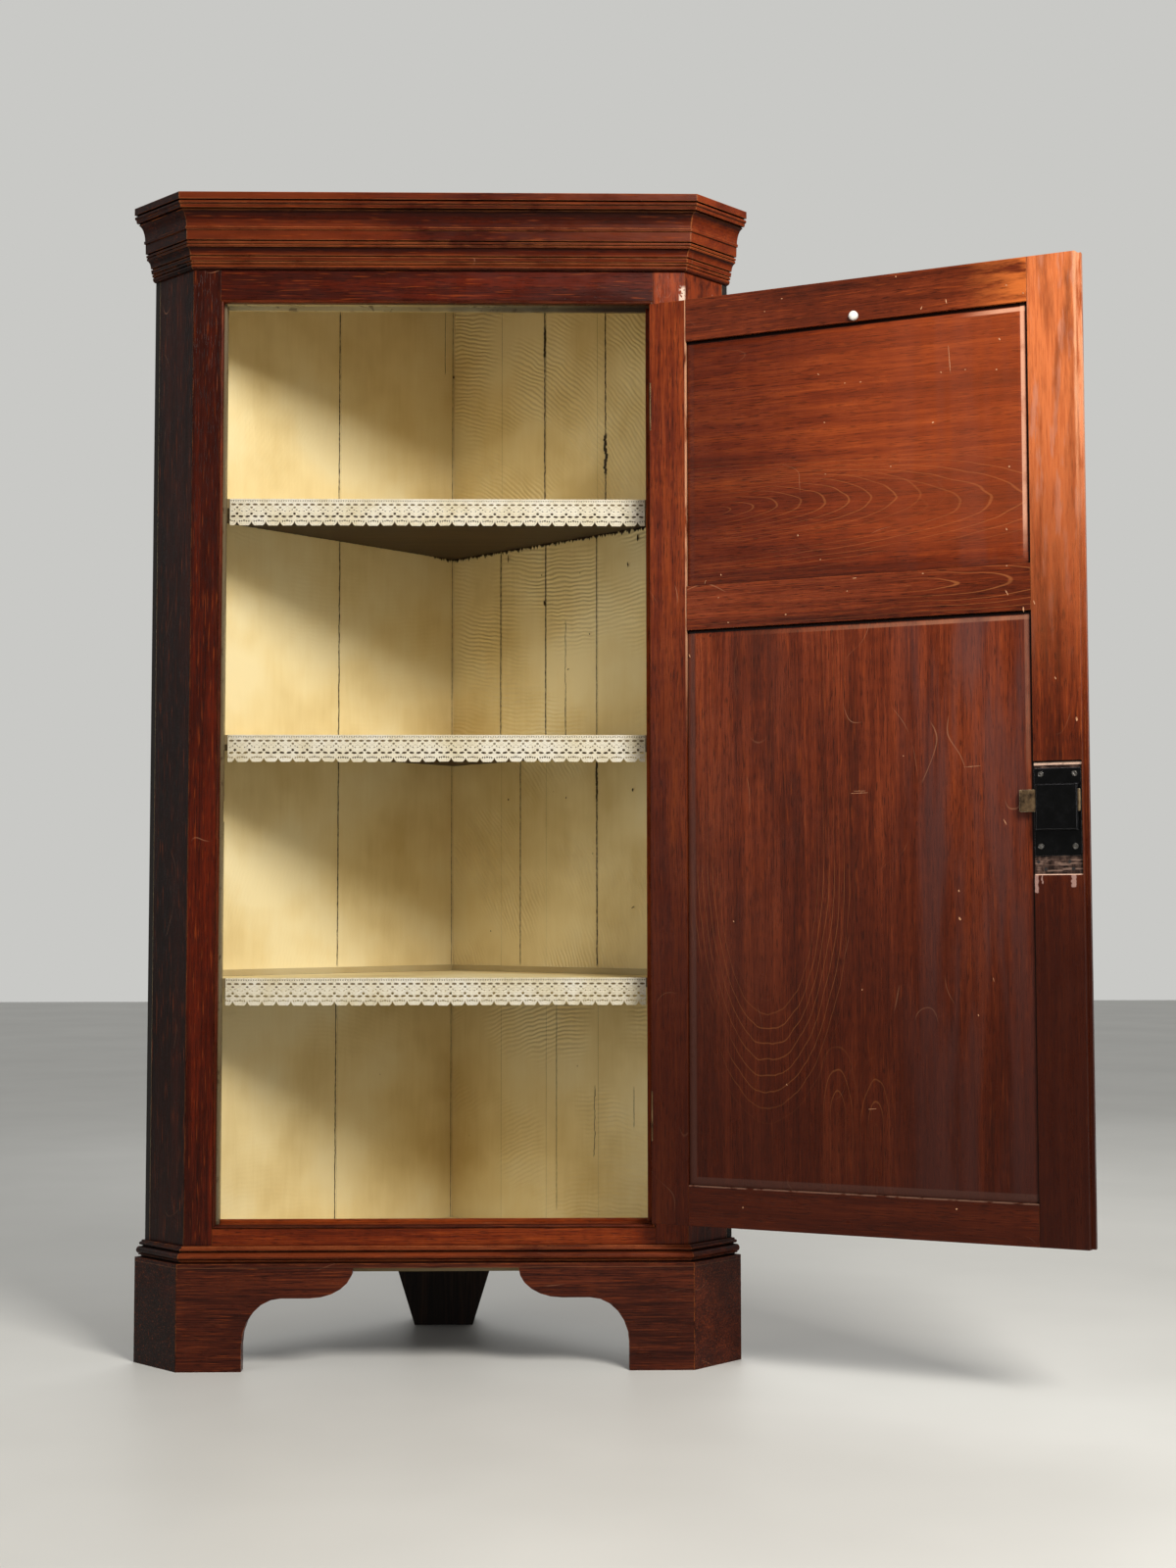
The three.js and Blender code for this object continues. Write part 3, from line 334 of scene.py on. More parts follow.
def mahogany(name, along="z", door=False, tone="plain", seed=0.0, figures=(), lines=0.3, wear=0.6,
             bloom=0.08, calm=0.0, extra=None, edgeRadius=0.0014):
    # Old polished mahogany: streaks, fine pores, pale worn edges, and grime with painted shade in the
    # corners. bloom is the share of haze on the polish, calm evens the streaks out, and extra adds what one
    # piece alone has.
    g = Shader(name, Specular_IOR_Level=0.09, Coat_Weight=0.03, Coat_Roughness=0.10)
    p, q = grainSpace(g, along, door, (seed * 0.37, seed * 0.21, seed * 0.53))
    drift = g.grain(q, 0.25, 7.0, 2.0)
    broad = g.grain(q, 0.13, 9.0, 3.0, 0.55, 0.4)
    streaks = g.grain(q, 0.035, 62.0, 4.0, 0.6, 0.3)
    fibre = g.grain(q, 0.03, 460.0, 2.0, 0.6)
    pores = g.fade(g.grain(q, 0.08, 620.0, 1.0), 0.57, 0.70)
    gleam = g.fade(g.grain(q, 0.06, 380.0, 1.0, shift=(0.7, 0.2, 0.4)), 0.60, 0.76)
    cross = g.noise(g.scaled(q, (0.5, 1, 1)), 55.0, 2.0, 0.5)

    tint = g.blend(broad, 0.38, streaks, 0.34)
    tint = g.add(tint, g.blend(fibre, 0.21, cross, 0.07))
    tint = g.add(g.times(tint, 1.0 - calm), 0.5 * calm)
    colour = g.streaks(tint, mahoganyTones[tone], 0.38, 0.63)
    colour = g.tint(colour, pores, *woodSurface["pores"])
    colour = g.tint(colour, gleam, *woodSurface["gleam"])
    for figure in figures:
        colour = g.tint(colour, rings(g, p, q, drift, figure), lines, woodSurface["rings"])
    haze = g.fade(g.grain(q, 0.3, 5.0, 3.0, 0.6, shift=(0.9, 0.4, 0.1)), 0.46, 0.70)
    colour = g.tint(colour, haze, bloom, woodSurface["haze"])

    normal, near = g.edges(edgeRadius)
    rough = g.grain(q, 0.5, 38.0, 4.0, 0.65, shift=(0.3, 0.1, 0.7))
    worn = g.math("MULTIPLY", g.fade(near, 0.15, 0.75), g.fade(rough, 0.40, 0.60), clamp=True)
    colour = g.tint(colour, worn, wear, woodSurface["worn"])
    spot, chance = g.cells(g.scaled(q, (1, 1, 0.7)), 13.0)
    nicks = g.times(g.fade(spot, 0.012, 0.026, 1.0, 0.0), g.fade(chance, 0.80, 0.84))
    colour = g.tint(colour, nicks, *woodSurface["nicks"])
    thread = g.math("ABSOLUTE", g.add(g.grain(p, 0.35, 17.0, 0.0, shift=(seed, 0, 0)), -0.5))
    rare = g.fade(g.grain(p, 1, 11.0, 1.0, shift=(0.3, seed, 0)), 0.62, 0.70)
    scratch = g.times(g.fade(thread, 0.0015, 0.0035, 1.0, 0.0), rare)
    colour = g.tint(colour, scratch, *woodSurface["scratches"])
    # Dark in the crevices: grime, and painted shade where shade falls
    grimeAndShade = g.fade(g.add(g.crevices(0.006), g.sway(rough, 0.4)), 0.30, 0.80)
    colour = g.tint(colour, grimeAndShade, *woodSurface["grimeAndShade"])
    if extra:
        colour = extra(g, p, q, colour)
    g.set("Base Color", colour)

    polish = g.fade(g.add(rough, g.times(worn, 0.3)), 0.3, 0.9, 0.24, 0.55)
    upward = g.faces((0, 0, 1), 0.90, 0.97)
    g.set("Roughness", g.either(polish, g.times(upward, 0.8)))  # dust lies on what faces up
    height = g.blend(fibre, 0.35, pores, -0.6)
    height = g.add(height, g.blend(g.noise(q, 12.0, 2.0), 1.4, scratch, -0.8))
    g.bump(height, 0.0004, normal, 0.55)
    return g.material


paint = {
    "tones": ("#d5bd82", "#e6d29b", "#ecdcab"), "crackAndShadow": "#1f1207", "speck": "#7a5d35", "dirtAndShade": "#7d683a",
}


def paintedColour(g, p, strength=1.0):
    # Old brushed cream paint: its colour, and its brush marks for the bump
    flow = g.grain(p, 0.12, 90.0, 4.0, 0.6, 0.3)
    patches = g.noise(p, 5.0, 3.0, 0.55)
    colour = g.streaks(g.blend(flow, 0.12, patches, 0.88), paint["tones"], 0.34, 0.62)
    spot, chance = g.cells(p, 26.0)
    specks = g.times(g.fade(spot, 0.025, 0.05, 1.0, 0.0), g.fade(chance, 0.92, 0.94))
    colour = g.tint(colour, specks, 0.55 * strength, paint["speck"])
    # Dark in the crevices: dirt, and painted shade where shade falls
    dirtAndShade = g.fade(g.add(g.crevices(0.02), g.sway(patches, 0.3)), 0.55, 1.1)
    return g.tint(colour, dirtAndShade, 0.5, paint["dirtAndShade"]), flow


# Dark, middle and light streaks of the softwood
pineTones = {
    "bare": ("#3d2a18", "#6a4e33", "#8a6b4a"),
    # The shelves' bare undersides are painted darker than the pine elsewhere: painted shade
    "shelves": ("#150d08", "#2a1b12", "#40291a"),
    "feet": ("#0d0806", "#1c120d", "#352318"),
}


def barePine(g, p, tone="bare"):
    # Unpainted softwood with upright grain, dark with age, and its fibre for the bump
    wide = g.grain(p, 0.04, 60.0, 5.0, 0.6, 0.6)
    fine = g.grain(p, 0.03, 500.0, 2.0)
    return g.streaks(g.blend(wide, 0.65, fine, 0.35), pineTones[tone], 0.35, 0.66), fine


# Cracks and open joints in the paint: u from the corner, the heights between which they run, how
# wide they are and how far they wander, all in millimetres
leftCracks = [
    (269, 1387, 1838, 2.2, 1.5), (267, 1006, 1357, 2.0, 3.0), (267, 618, 977, 2.0, 1.5),
    (269, 161, 590, 2.0, 2.5), (20, 1700, 1838, 1.0, 3.0), (1, 161, 1838, 1.2, 1.0),
]
rightCracks = [
    (240, 1387, 1838, 3.2, 2.5), (388, 1387, 1838, 3.0, 2.5), (388, 1460, 1530, 8.0, 9.0),
    (240, 1690, 1745, 6.0, 4.0), (128, 1006, 1357, 2.6, 1.0), (242, 1006, 1357, 2.6, 1.5),
    (291, 1006, 1215, 1.2, 4.0), (291, 1006, 1080, 2.2, 2.0), (366, 1006, 1357, 2.0, 1.0),
    (179, 618, 977, 2.2, 1.0), (366, 618, 977, 3.0, 1.0), (366, 900, 977, 5.0, 2.0),
    (269, 200, 560, 1.2, 1.5), (360, 297, 415, 1.6, 9.0), (451, 352, 417, 1.0, 2.0),
    (1, 161, 1838, 1.2, 1.0),
]
# The backs, in metres: joints and nails from the inner corner, the nails' heights, and the height of the
# top shelf's underside, below which a ragged painted shadow runs. ridgeBays gives each bay's heights and
# the centre of its arcs.
backs = {
    "joints": {-1: (0.268,), 1: (0.128, 0.241, 0.366)}, "nails": (0.06, 0.18, 0.33, 0.47, 0.58),
    "nailHeights": (0.171, 0.603, 0.985, 1.366, 1.838), "underShelf": 1.3569,
    "ridgePitch": 0.0075, "ridges": {-1: 0.06, 1: 0.65},
    "ridgeBays": [(1.38, 1.84, -0.10, 1.10), (1.0, 1.36, 0.35, 2.6), (0.6, 0.98, -0.55, 0.35),
                  (0.16, 0.59, 0.42, -0.35)],
}


def backFace(g, p, side, u, z):
    # The outer face of a back: bare boards, each of its own tone, with nails along the shelves
    pine, _ = barePine(g, p)
    for i, place in enumerate(backs["joints"][side]):
        step = g.fade(u, place + 0.0115, place + 0.0125)
        pine = g.tint(pine, step, 0.45, "#4a3420" if i % 2 else "#86684a")
    for place in backs["joints"][side]:
        pine = g.mix(g.band(u, place + 0.0110, place + 0.0130, 0.0003), pine, "#0d0805")
    nails = []
    for place in backs["nails"]:
        for height in backs["nailHeights"]:
            away = g.radius(g.add(u, -place), g.add(z, -height))
            nails.append(g.fade(away, 0.0034, 0.0022))
    return g.tint(pine, g.either(*nails), 0.85, "#17110d")


def ridges(g, u, z, side):
    # Raised grain that stands out under the paint, in arcs that change from bay to bay
    wobble = g.noise(g.joined(u, 0.0, z), 16.0, 2.0)
    whole = 0.0
    for low, high, centreU, centreZ in backs["ridgeBays"]:
        radius = g.radius(g.add(u, -centreU), g.add(z, -centreZ))
        turns = g.times(g.add(radius, g.times(wobble, 0.02)), 2 * math.pi / backs["ridgePitch"])
        whole = g.add(whole, g.times(g.math("SINE", turns), g.band(z, low, high, 0.002)))
    patchy = g.fade(g.noise(g.joined(u, 3.0, z), 6.0, 1.0), 0.4, 0.6)
    return g.times(whole, patchy, backs["ridges"][side])


def paintedBoard(name, side, cracks):
    # A back: painted inside the cupboard and bare outside
    g = Shader(name, roughness=0.55, Specular_IOR_Level=0.4)
    p = g.place()
    colour, flow = paintedColour(g, p)
    along = alongWall(side)
    u = g.add(g.dot(p, tuple(along)), -along.dot(backCorner))
    z = g.split(p)[2]
    shake = g.minus(g.noise(g.joined(0.0, 0.0, z), 28.0, 3.0, 0.7), 0.5)
    ragged = g.noise(p, 160.0, 2.0)
    masks = []
    for place, low, high, width, wander in cracks:
        gap = g.math("ABSOLUTE", g.add(u, -place / 1000, g.times(shake, wander / 500)))
        half = g.times(g.fade(ragged, 0.25, 0.75, 0.5, 1.2), width / 2000)
        line = g.fade(g.minus(half, gap), -0.0003, 0.0002)
        masks.append(g.times(line, g.band(z, low / 1000, high / 1000, 0.004)))
    # A ragged painted shadow below the top shelf, in the colour of the cracks
    shadowEdge = g.add(g.times(g.noise(g.joined(u, 0.0, 0.0), 130.0, 2.0, 0.7), 0.030), -0.0115)
    shadowEdge = g.times(shadowEdge, 1.0 if side > 0 else g.fade(u, 0.02, 0.07, 1.0, 0.15))
    shelfShadow = g.fade(g.minus(z, g.minus(backs["underShelf"], shadowEdge)), 0.0, 0.0012)
    masks.append(g.times(shelfShadow, g.band(z, 1.32, 1.358, 0.0005)))
    # One mask holds the cracks and the painted shadow below the top shelf
    crackAndShadow = g.either(*masks)
    colour = g.mix(crackAndShadow, colour, paint["crackAndShadow"])

    bare = g.faces(fromWall(side), 0.5, 0.3)
    colour = g.mix(bare, colour, backFace(g, p, side, u, z))
    # The boards' end faces get painted shade, near black
    shadedEnds = g.faces(along, 0.5, 0.8)
    g.set("Base Color", g.mix(shadedEnds, colour, "#120a06"))
    g.set("Roughness", g.fade(bare, 0.0, 1.0, 0.5, 0.85))
    height = g.add(g.times(flow, 0.5), g.add(ridges(g, u, z, side), g.times(crackAndShadow, -2.0)))
    g.bump(height, 0.0009, None, 0.7)
    return g.material


def paintedShelf(name):
    # Painted on top, with painted shade on the front behind the lace, and bare wood below whose darkness is
    # painted shade
    g = Shader(name, roughness=0.5, Specular_IOR_Level=0.4)
    p = g.swapped(g.place(), "YZX")
    colour, flow = paintedColour(g, p)
    below = g.faces((0, 0, 1), -0.3, -0.6)
    before = g.faces((0, -1, 0))
    # Painted shade on the front, behind the lace
    colour = g.tint(colour, before, 0.85, "#553d14")
    g.set("Base Color", g.mix(below, colour, barePine(g, p, "shelves")[0]))
    g.bump(flow, 0.0006, None, 0.6)
    return g.material


def plainWood(name, tone, along="z"):
    g = Shader(name, roughness=0.8, Specular_IOR_Level=0.3)
    _, q = grainSpace(g, along, False, (0.2, 0.4, 0.1))
    colour, fibre = barePine(g, q, tone)
    normal, near = g.edges(0.002)
    g.set("Base Color", g.tint(colour, g.fade(near, 0.2, 0.9), 0.3, pineTones[tone][2]))
    g.bump(fibre, 0.0008, normal, 0.6)
    return g.material


def creamPaint(g, mask, colour):
    # The paint of the inside, chipped, where the mask is 1
    cream, _ = paintedColour(g, g.place(), 0.5)
    chips = g.fade(g.noise(g.place(), 60.0, 3.0, 0.6), 0.60, 0.66)
    return g.mix(mask, colour, g.tint(cream, chips, 0.6, "#5b4428"))


def behindBead(g, y):
    return g.fade(y, frontY + bead["deep"] - bead["soft"], frontY + bead["deep"] + bead["soft"])


def paintedBack(g, p, q, colour):
    # A frame piece is painted behind
    return creamPaint(g, g.faces((0, 1, 0)), colour)


def paintedJamb(g, p, q, colour):
    # Behind the bead on the left, the doorway's edge is painted cream, and painted shade darkens it almost
    # to brown
    x, y, z = g.split(g.place())
    edgeX = doorwayLeft - bead["wide"]
    edge = g.fade(x, edgeX - bead["soft"], edgeX + bead["soft"])
    jamb = g.times(edge, behindBead(g, y), g.fade(z, doorwayHigh, doorwayHigh - 0.001))
    colour = creamPaint(g, g.either(jamb, g.faces((0, 1, 0))), colour)
    return g.tint(colour, jamb, 0.85, "#33211a")


def paintedHead(g, p, q, colour):
    # The lip above the doorway is painted cream on its left part only, and painted shade greys the whole
    # lip, more towards the hinges
    x, y, z = g.split(g.place())
    lipZ = doorwayHigh + bead["wide"]
    lip = g.times(g.fade(z, lipZ + bead["soft"], lipZ - bead["soft"]), behindBead(g, y))
    ragged = g.sway(g.noise(g.place(), 30.0, 4.0), 0.25)
    left = g.fade(g.add(x, ragged), 0.10, 0.30, 1.0, 0.0)
    # Painted shade on the lip, more towards the hinges
    headShade = g.fade(g.add(x, ragged), -0.15, 0.20)
    colour = creamPaint(g, g.either(g.times(lip, left), g.faces((0, 1, 0))), colour)
    return g.tint(colour, lip, g.fade(headShade, 0.0, 1.0, 0.5, 0.85), "#463c31")


# The right corner below the cornice: its top turns orange and its arris pale, partly where a hand has
# rubbed the wood and bared it, and partly as painted highlight
rubbedAndLit = {"low": 1.655, "high": 1.70, "left": 0.348, "tone": "#a2431c", "bare": "#e2c9b4"}


def rubbedLitCorner(g, p, q, colour):
    x, y, z = g.split(g.place())
    rubAndShine = g.grain(g.place(), 0.5, 60.0, 4.0, 0.7)
    high = g.times(g.fade(z, rubbedAndLit["low"] - 0.03, rubbedAndLit["low"]),
                   g.fade(x, rubbedAndLit["left"], rubbedAndLit["left"] + 0.01))
    # Partly rubbed wood, partly painted highlight: the top turns orange
    colour = g.tint(colour, g.times(high, g.fade(rubAndShine, 0.35, 0.6)), 0.35, rubbedAndLit["tone"])
    # The pale arris: partly bared wood, partly painted highlight
    arris = g.times(g.band(x, stileHigh.x - 0.009, stileHigh.x + 0.001, 0.001),
                    g.fade(y, frontY + 0.004, frontY + 0.002))
    ragged = g.fade(g.noise(g.place(), 140.0, 2.0), 0.42, 0.50)
    bare = g.times(arris, ragged, g.band(z, rubbedAndLit["low"] + 0.012, rubbedAndLit["high"] + 0.012, 0.004))
    flecks = g.times(g.fade(rubAndShine, 0.70, 0.75), high)
    return g.tint(colour, g.either(bare, flecks), 0.85, rubbedAndLit["bare"])


def rubbedLitFront(g, p, q, colour):
    return paintedBack(g, p, q, rubbedLitCorner(g, p, q, colour))


def paintedInside(side):
    # A canted side is painted within, and its long edges stay bare
    def extra(g, p, q, colour):
        mask = g.faces(Vector((-side, 1, 0)) / math.sqrt(2))
        return creamPaint(g, mask, rubbedLitCorner(g, p, q, colour) if side > 0 else colour)
    return extra


# A thin strip is glued along the plinth's top edge: the heights of its dark joint and of its sheen
plinthStrip = {"joint": (0.1572, 0.1581), "sheen": (0.1582, 0.1592)}


def plinthJoint(g, p, q, colour):
    z = g.split(g.place())[2]
    wobble = g.sway(g.noise(g.place(), 30.0, 2.0), 0.0016)
    line = g.band(g.add(z, wobble), *plinthStrip["joint"], 0.0002)
    pale = g.band(g.add(z, wobble), *plinthStrip["sheen"], 0.0003)
    colour = g.tint(colour, pale, 0.35, "#8a5a3c")
    colour = g.tint(colour, line, 0.85, "#0d0503")
    shade = g.grain(q, 0.03, 400.0, 3.0, 0.65)
    colour = g.tint(colour, g.fade(shade, 0.50, 0.60), 0.55, "#130403")
    return g.tint(colour, g.fade(shade, 0.42, 0.34), 0.22, "#8a4520")


def mouldingLight(g, p, q, colour):
    # Painted light on the mouldings: the members' fronts and tops are painted orange in patches and their
    # arrises carry a painted highlight, while what faces down gets painted shade
    up = g.dot(g.normal(), (0, 0, 1))
    patchy = g.fade(g.grain(q, 0.15, 14.0, 3.0, 0.6), 0.36, 0.62)
    # Painted highlight: fronts and tops turn orange in patches
    colour = g.tint(colour, g.times(g.fade(up, -0.45, 0.05), patchy), 0.30, "#9c431a")
    # Painted shade on what faces down
    colour = g.mix(g.fade(up, -0.25, -0.90, 0.0, 0.6), colour, "#120402")
    # Painted highlight on the arrises
    arris = g.fade(g.edges(0.0012)[1], 0.25, 0.8)
    return g.tint(colour, arris, g.fade(patchy, 0.0, 1.0, 0.25, 0.7), "#c47c4e")


# The pieces that face left take the deep tone: painted shade on that side
carcassWood = {
    "frame_stile_left": dict(along="z", seed=1.0, tone="red", bloom=0.03, extra=paintedJamb),
    "frame_stile_right": dict(along="z", seed=2.3, tone="warm", extra=rubbedLitFront),
    "frame_top_rail": dict(along="x", seed=3.1, tone="red", wear=0.4, bloom=0.0, calm=0.2,
                           extra=paintedHead),
    "frame_bottom_rail": dict(along="x", seed=4.7, tone="warm", wear=0.9, bloom=0.0, extra=paintedBack),
    "canted_side_left": dict(along="z", seed=5.2, tone="deep", extra=paintedInside(-1)),
    "canted_side_right": dict(along="z", seed=6.4, tone="plain", extra=paintedInside(1)),
    "cornice_front": dict(along="x", seed=7.5, tone="red", wear=1.0, bloom=0.06, calm=0.45,
                          extra=mouldingLight, edgeRadius=0.0022),
    "cornice_return_left": dict(along="x", seed=8.1, tone="deep", wear=0.8),
    "cornice_return_right": dict(along="x", seed=9.6, tone="warm", wear=1.0, calm=0.45,
                                 extra=mouldingLight, edgeRadius=0.0022),
    "base_mould_front": dict(along="x", seed=10.2, tone="plain", wear=1.0, extra=mouldingLight,
                             edgeRadius=0.0022),
    "base_mould_return_left": dict(along="x", seed=11.8, tone="deep"),
    "base_mould_return_right": dict(along="x", seed=12.3, tone="plain", wear=0.8),
    "plinth_front": dict(along="x", seed=13.9, tone="dull", wear=1.0, calm=0.3, extra=plinthJoint),
    "plinth_return_left": dict(along="x", seed=14.4, tone="deep", extra=plinthJoint),
    "plinth_return_right": dict(along="x", seed=15.5, tone="dull", wear=0.8, calm=0.3, extra=plinthJoint),
    "door_bead_lock_side": dict(along="z", seed=28.5, tone="plain", wear=0.5),
    "door_bead_hinge_side": dict(along="z", seed=29.1, tone="plain"),
    "door_bead_bottom": dict(along="x", seed=30.6, tone="plain", wear=0.9),
    "door_bead_top": dict(along="x", seed=31.2, tone="plain", wear=0.7),
}
for node, choices in carcassWood.items():
    finish(node, mahogany("wood_" + node, **choices))
print("carcass wood done")

leftPaint = paintedBoard("paint_left_back", -1, leftCracks)
rightPaint = paintedBoard("paint_right_back", 1, rightCracks)
shelfPaint = paintedShelf("paint_shelves")
for node in nodes:
    if node.startswith("back_board_left"):
        finish(node, leftPaint)
    if node.startswith("back_board_right"):
        finish(node, rightPaint)
    if node.startswith("shelf_") or node == "bottom_board":
        finish(node, shelfPaint)
finish("top_board", plainWood("pine_top", "bare", "x"))
darkPine = plainWood("pine_feet", "feet")
for node in ("back_foot", "foot_block_left", "foot_block_right"):
    finish(node, darkPine)
print("paint and pine done")

# The sinking round the lock: how far it reaches along the door, its heights, and old scars below
# it, each as left, right, low and high
lockSinking = {
    "reach": (0.6066, 0.6772), "heights": (0.7608, 0.9272), "floor": doorInside - 0.0040,
    "scars": [(0.6075, 0.6125, 0.7355, 0.762), (0.6600, 0.6670, 0.744, 0.762),
              (0.6170, 0.6190, 0.748, 0.762)],
}


def lockPatch(g, p, q, colour):
    # Raw wood in the sinking for the lock with splinters below it, painted shadow under the sinking's top
    # wall and pale rims that are partly painted highlight, and the stile's pale top, partly wear and partly
    # painted highlight, with painted shade lower down
    x, d, z = g.split(p)
    s = g.times(x, -1.0)
    inFace = g.fade(d, doorInside - 0.0004, doorInside - 0.0002)
    sunk = g.times(g.fade(d, lockSinking["floor"] - 0.0004, lockSinking["floor"]), g.minus(1.0, inFace))
    low, high = lockSinking["heights"]
    patch = g.times(g.band(z, low, high, 0.0004), g.band(s, *lockSinking["reach"], 0.0004), sunk)
    ragged = g.sway(g.noise(p, 150.0, 2.0), 0.006)
    scars = []
    for left, right, bottom, top in lockSinking["scars"]:
        wide = g.band(g.add(s, ragged), left, right, 0.0005)
        scars.append(g.times(wide, g.band(g.add(z, ragged), bottom, top, 0.0008)))
    scar = g.times(g.either(*scars), inFace, 0.75)

    wood = g.streaks(g.grain(q, 0.5, 120.0, 5.0, 0.65), ("#130b08", "#2c1e19", "#58443b"), 0.34, 0.66)
    chiselled = g.noise(g.scaled(p, (0.10, 1, 1)), 330.0, 3.0, 0.6, 0.3)
    wood = g.tint(wood, g.fade(chiselled, 0.55, 0.63), 0.45, "#9a7d6e")
    wood = g.tint(wood, g.fade(chiselled, 0.46, 0.40), 0.5, "#120906")
    # Painted shadow under the sinking's top wall
    wood = g.tint(wood, g.fade(z, high - 0.0026, high - 0.0020), 0.9, "#0d0604")
    # Pale rims of raw wood, partly painted highlight
    rims = g.either(g.band(z, low, low + 0.0016, 0.0003), g.band(z, high - 0.0062, high - 0.0028, 0.0004))
    wood = g.tint(wood, rims, g.fade(g.noise(p, 90.0, 2.0), 0.30, 0.45, 0.4, 0.95), "#e2bda6")

    rubAndShine = g.grain(q, 0.12, 60.0, 4.0, 0.65)
    # The stile's pale top: partly wear, partly painted highlight
    pale = g.times(g.fade(z, 0.98, 1.55), g.fade(rubAndShine, 0.28, 0.60, 0.3, 1.0))
    colour = g.tint(colour, pale, 0.92, "#cc7140")
    dashes = g.fade(g.grain(q, 0.05, 340.0, 2.0), 0.50, 0.62)
    colour = g.tint(colour, g.times(dashes, pale), 0.4, "#8f3d1b")
    greyed = g.fade(g.grain(q, 0.15, 70.0, 3.0, shift=(0.4, 0.1, 0.9)), 0.55, 0.64)
    colour = g.tint(colour, g.times(greyed, pale), 0.35, "#a67f72")
    # The free edge's arris: partly wear, partly painted highlight
    edge = g.times(g.fade(s, 0.6735, 0.6760), g.fade(z, 1.20, 1.55))
    colour = g.tint(colour, g.times(edge, g.fade(rubAndShine, 0.38, 0.55)), 0.6, "#dba37c")
    # Painted shade: darker towards the bottom
    colour = g.tint(colour, g.fade(z, 1.02, 0.62), 0.86, "#260a04")
    colour = g.mix(scar, colour, "#a8857a")
    return g.mix(patch, colour, wood)


def lowerShade(g, p, q, colour):
    # Painted shade: the lower part of the door is painted darker than the rest
    z = g.split(g.place())[2]
    return g.tint(colour, g.fade(z, 1.25, 0.30), 0.68, "#280b04")


def rubbedLitTop(g, p, q, colour):
    # The top rail turns orange towards the free edge: partly wear, partly painted highlight
    z = g.split(p)[2]
    rubAndShine = g.grain(q, 0.2, 50.0, 4.0, 0.65)
    pale = g.times(g.fade(g.times(z, -1.0), 0.50, 0.61), g.fade(rubAndShine, 0.36, 0.58))
    return g.tint(colour, pale, 0.75, "#cc6c30")


def litArris(g, p, q, colour):
    # A painted highlight along the bottom rail's upper arris, over the painted shade of the lower door
    z = g.split(g.place())[2]
    line = g.times(g.fade(z, 0.2862, 0.2870), g.fade(g.noise(g.place(), 60.0, 3.0), 0.35, 0.5))
    return g.tint(lowerShade(g, p, q, colour), line, 0.4, "#94715e")


def wornLitArris(g, p, q, colour):
    # The hinge stile's inner arris is pale beside the upper panel, partly wear and partly painted
    # highlight, and painted shade darkens the stile lower down
    x, _, z = g.split(p)
    s = g.times(x, -1.0)
    rubAndShine = g.grain(q, 0.3, 40.0, 3.0, 0.6)
    line = g.times(g.fade(s, 0.0640, 0.0655), g.fade(z, 0.95, 1.15))
    colour = g.tint(colour, g.times(line, g.fade(rubAndShine, 0.32, 0.5)), 0.75, "#d29b76")
    # Painted shade: darker below the upper panel
    colour = g.tint(colour, g.fade(z, 1.30, 0.95), 0.38, "#2c0c03")
    return lowerShade(g, p, q, colour)


# The door's panels, in metres: where they lie, their margins, and the black groove round them, a dark joint
# with painted shadow along the top and right. Each panel has its heights, where its right margin carries a
# painted highlight and where its top margin does, the tone of that highlight and its share on the right and
# on top, and how bluish and how dull it is.
doorPanels = {
    "left": 0.0662, "right": 0.6070, "margin": 0.014, "topShadow": 0.0062, "sideShadow": 0.0046,
    "grooveSoft": 0.0015, "line": 0.0014, "groove": "#050100",
    "door_panel_lower": dict(low=0.2883, high=1.1490, shine=(0.84, 1.00), topShine=(0.10, 0.56),
                             tone="#b17c60", right=0.30, top=0.45, bluish=0.5, dull=0.55),
    "door_panel_upper": dict(low=1.2180, high=1.6080, shine=(1.22, 1.30), topShine=(0.50, 0.57),
                             tone="#e0ae90", right=0.8, top=0.7, bluish=0.15, dull=0.12),
}


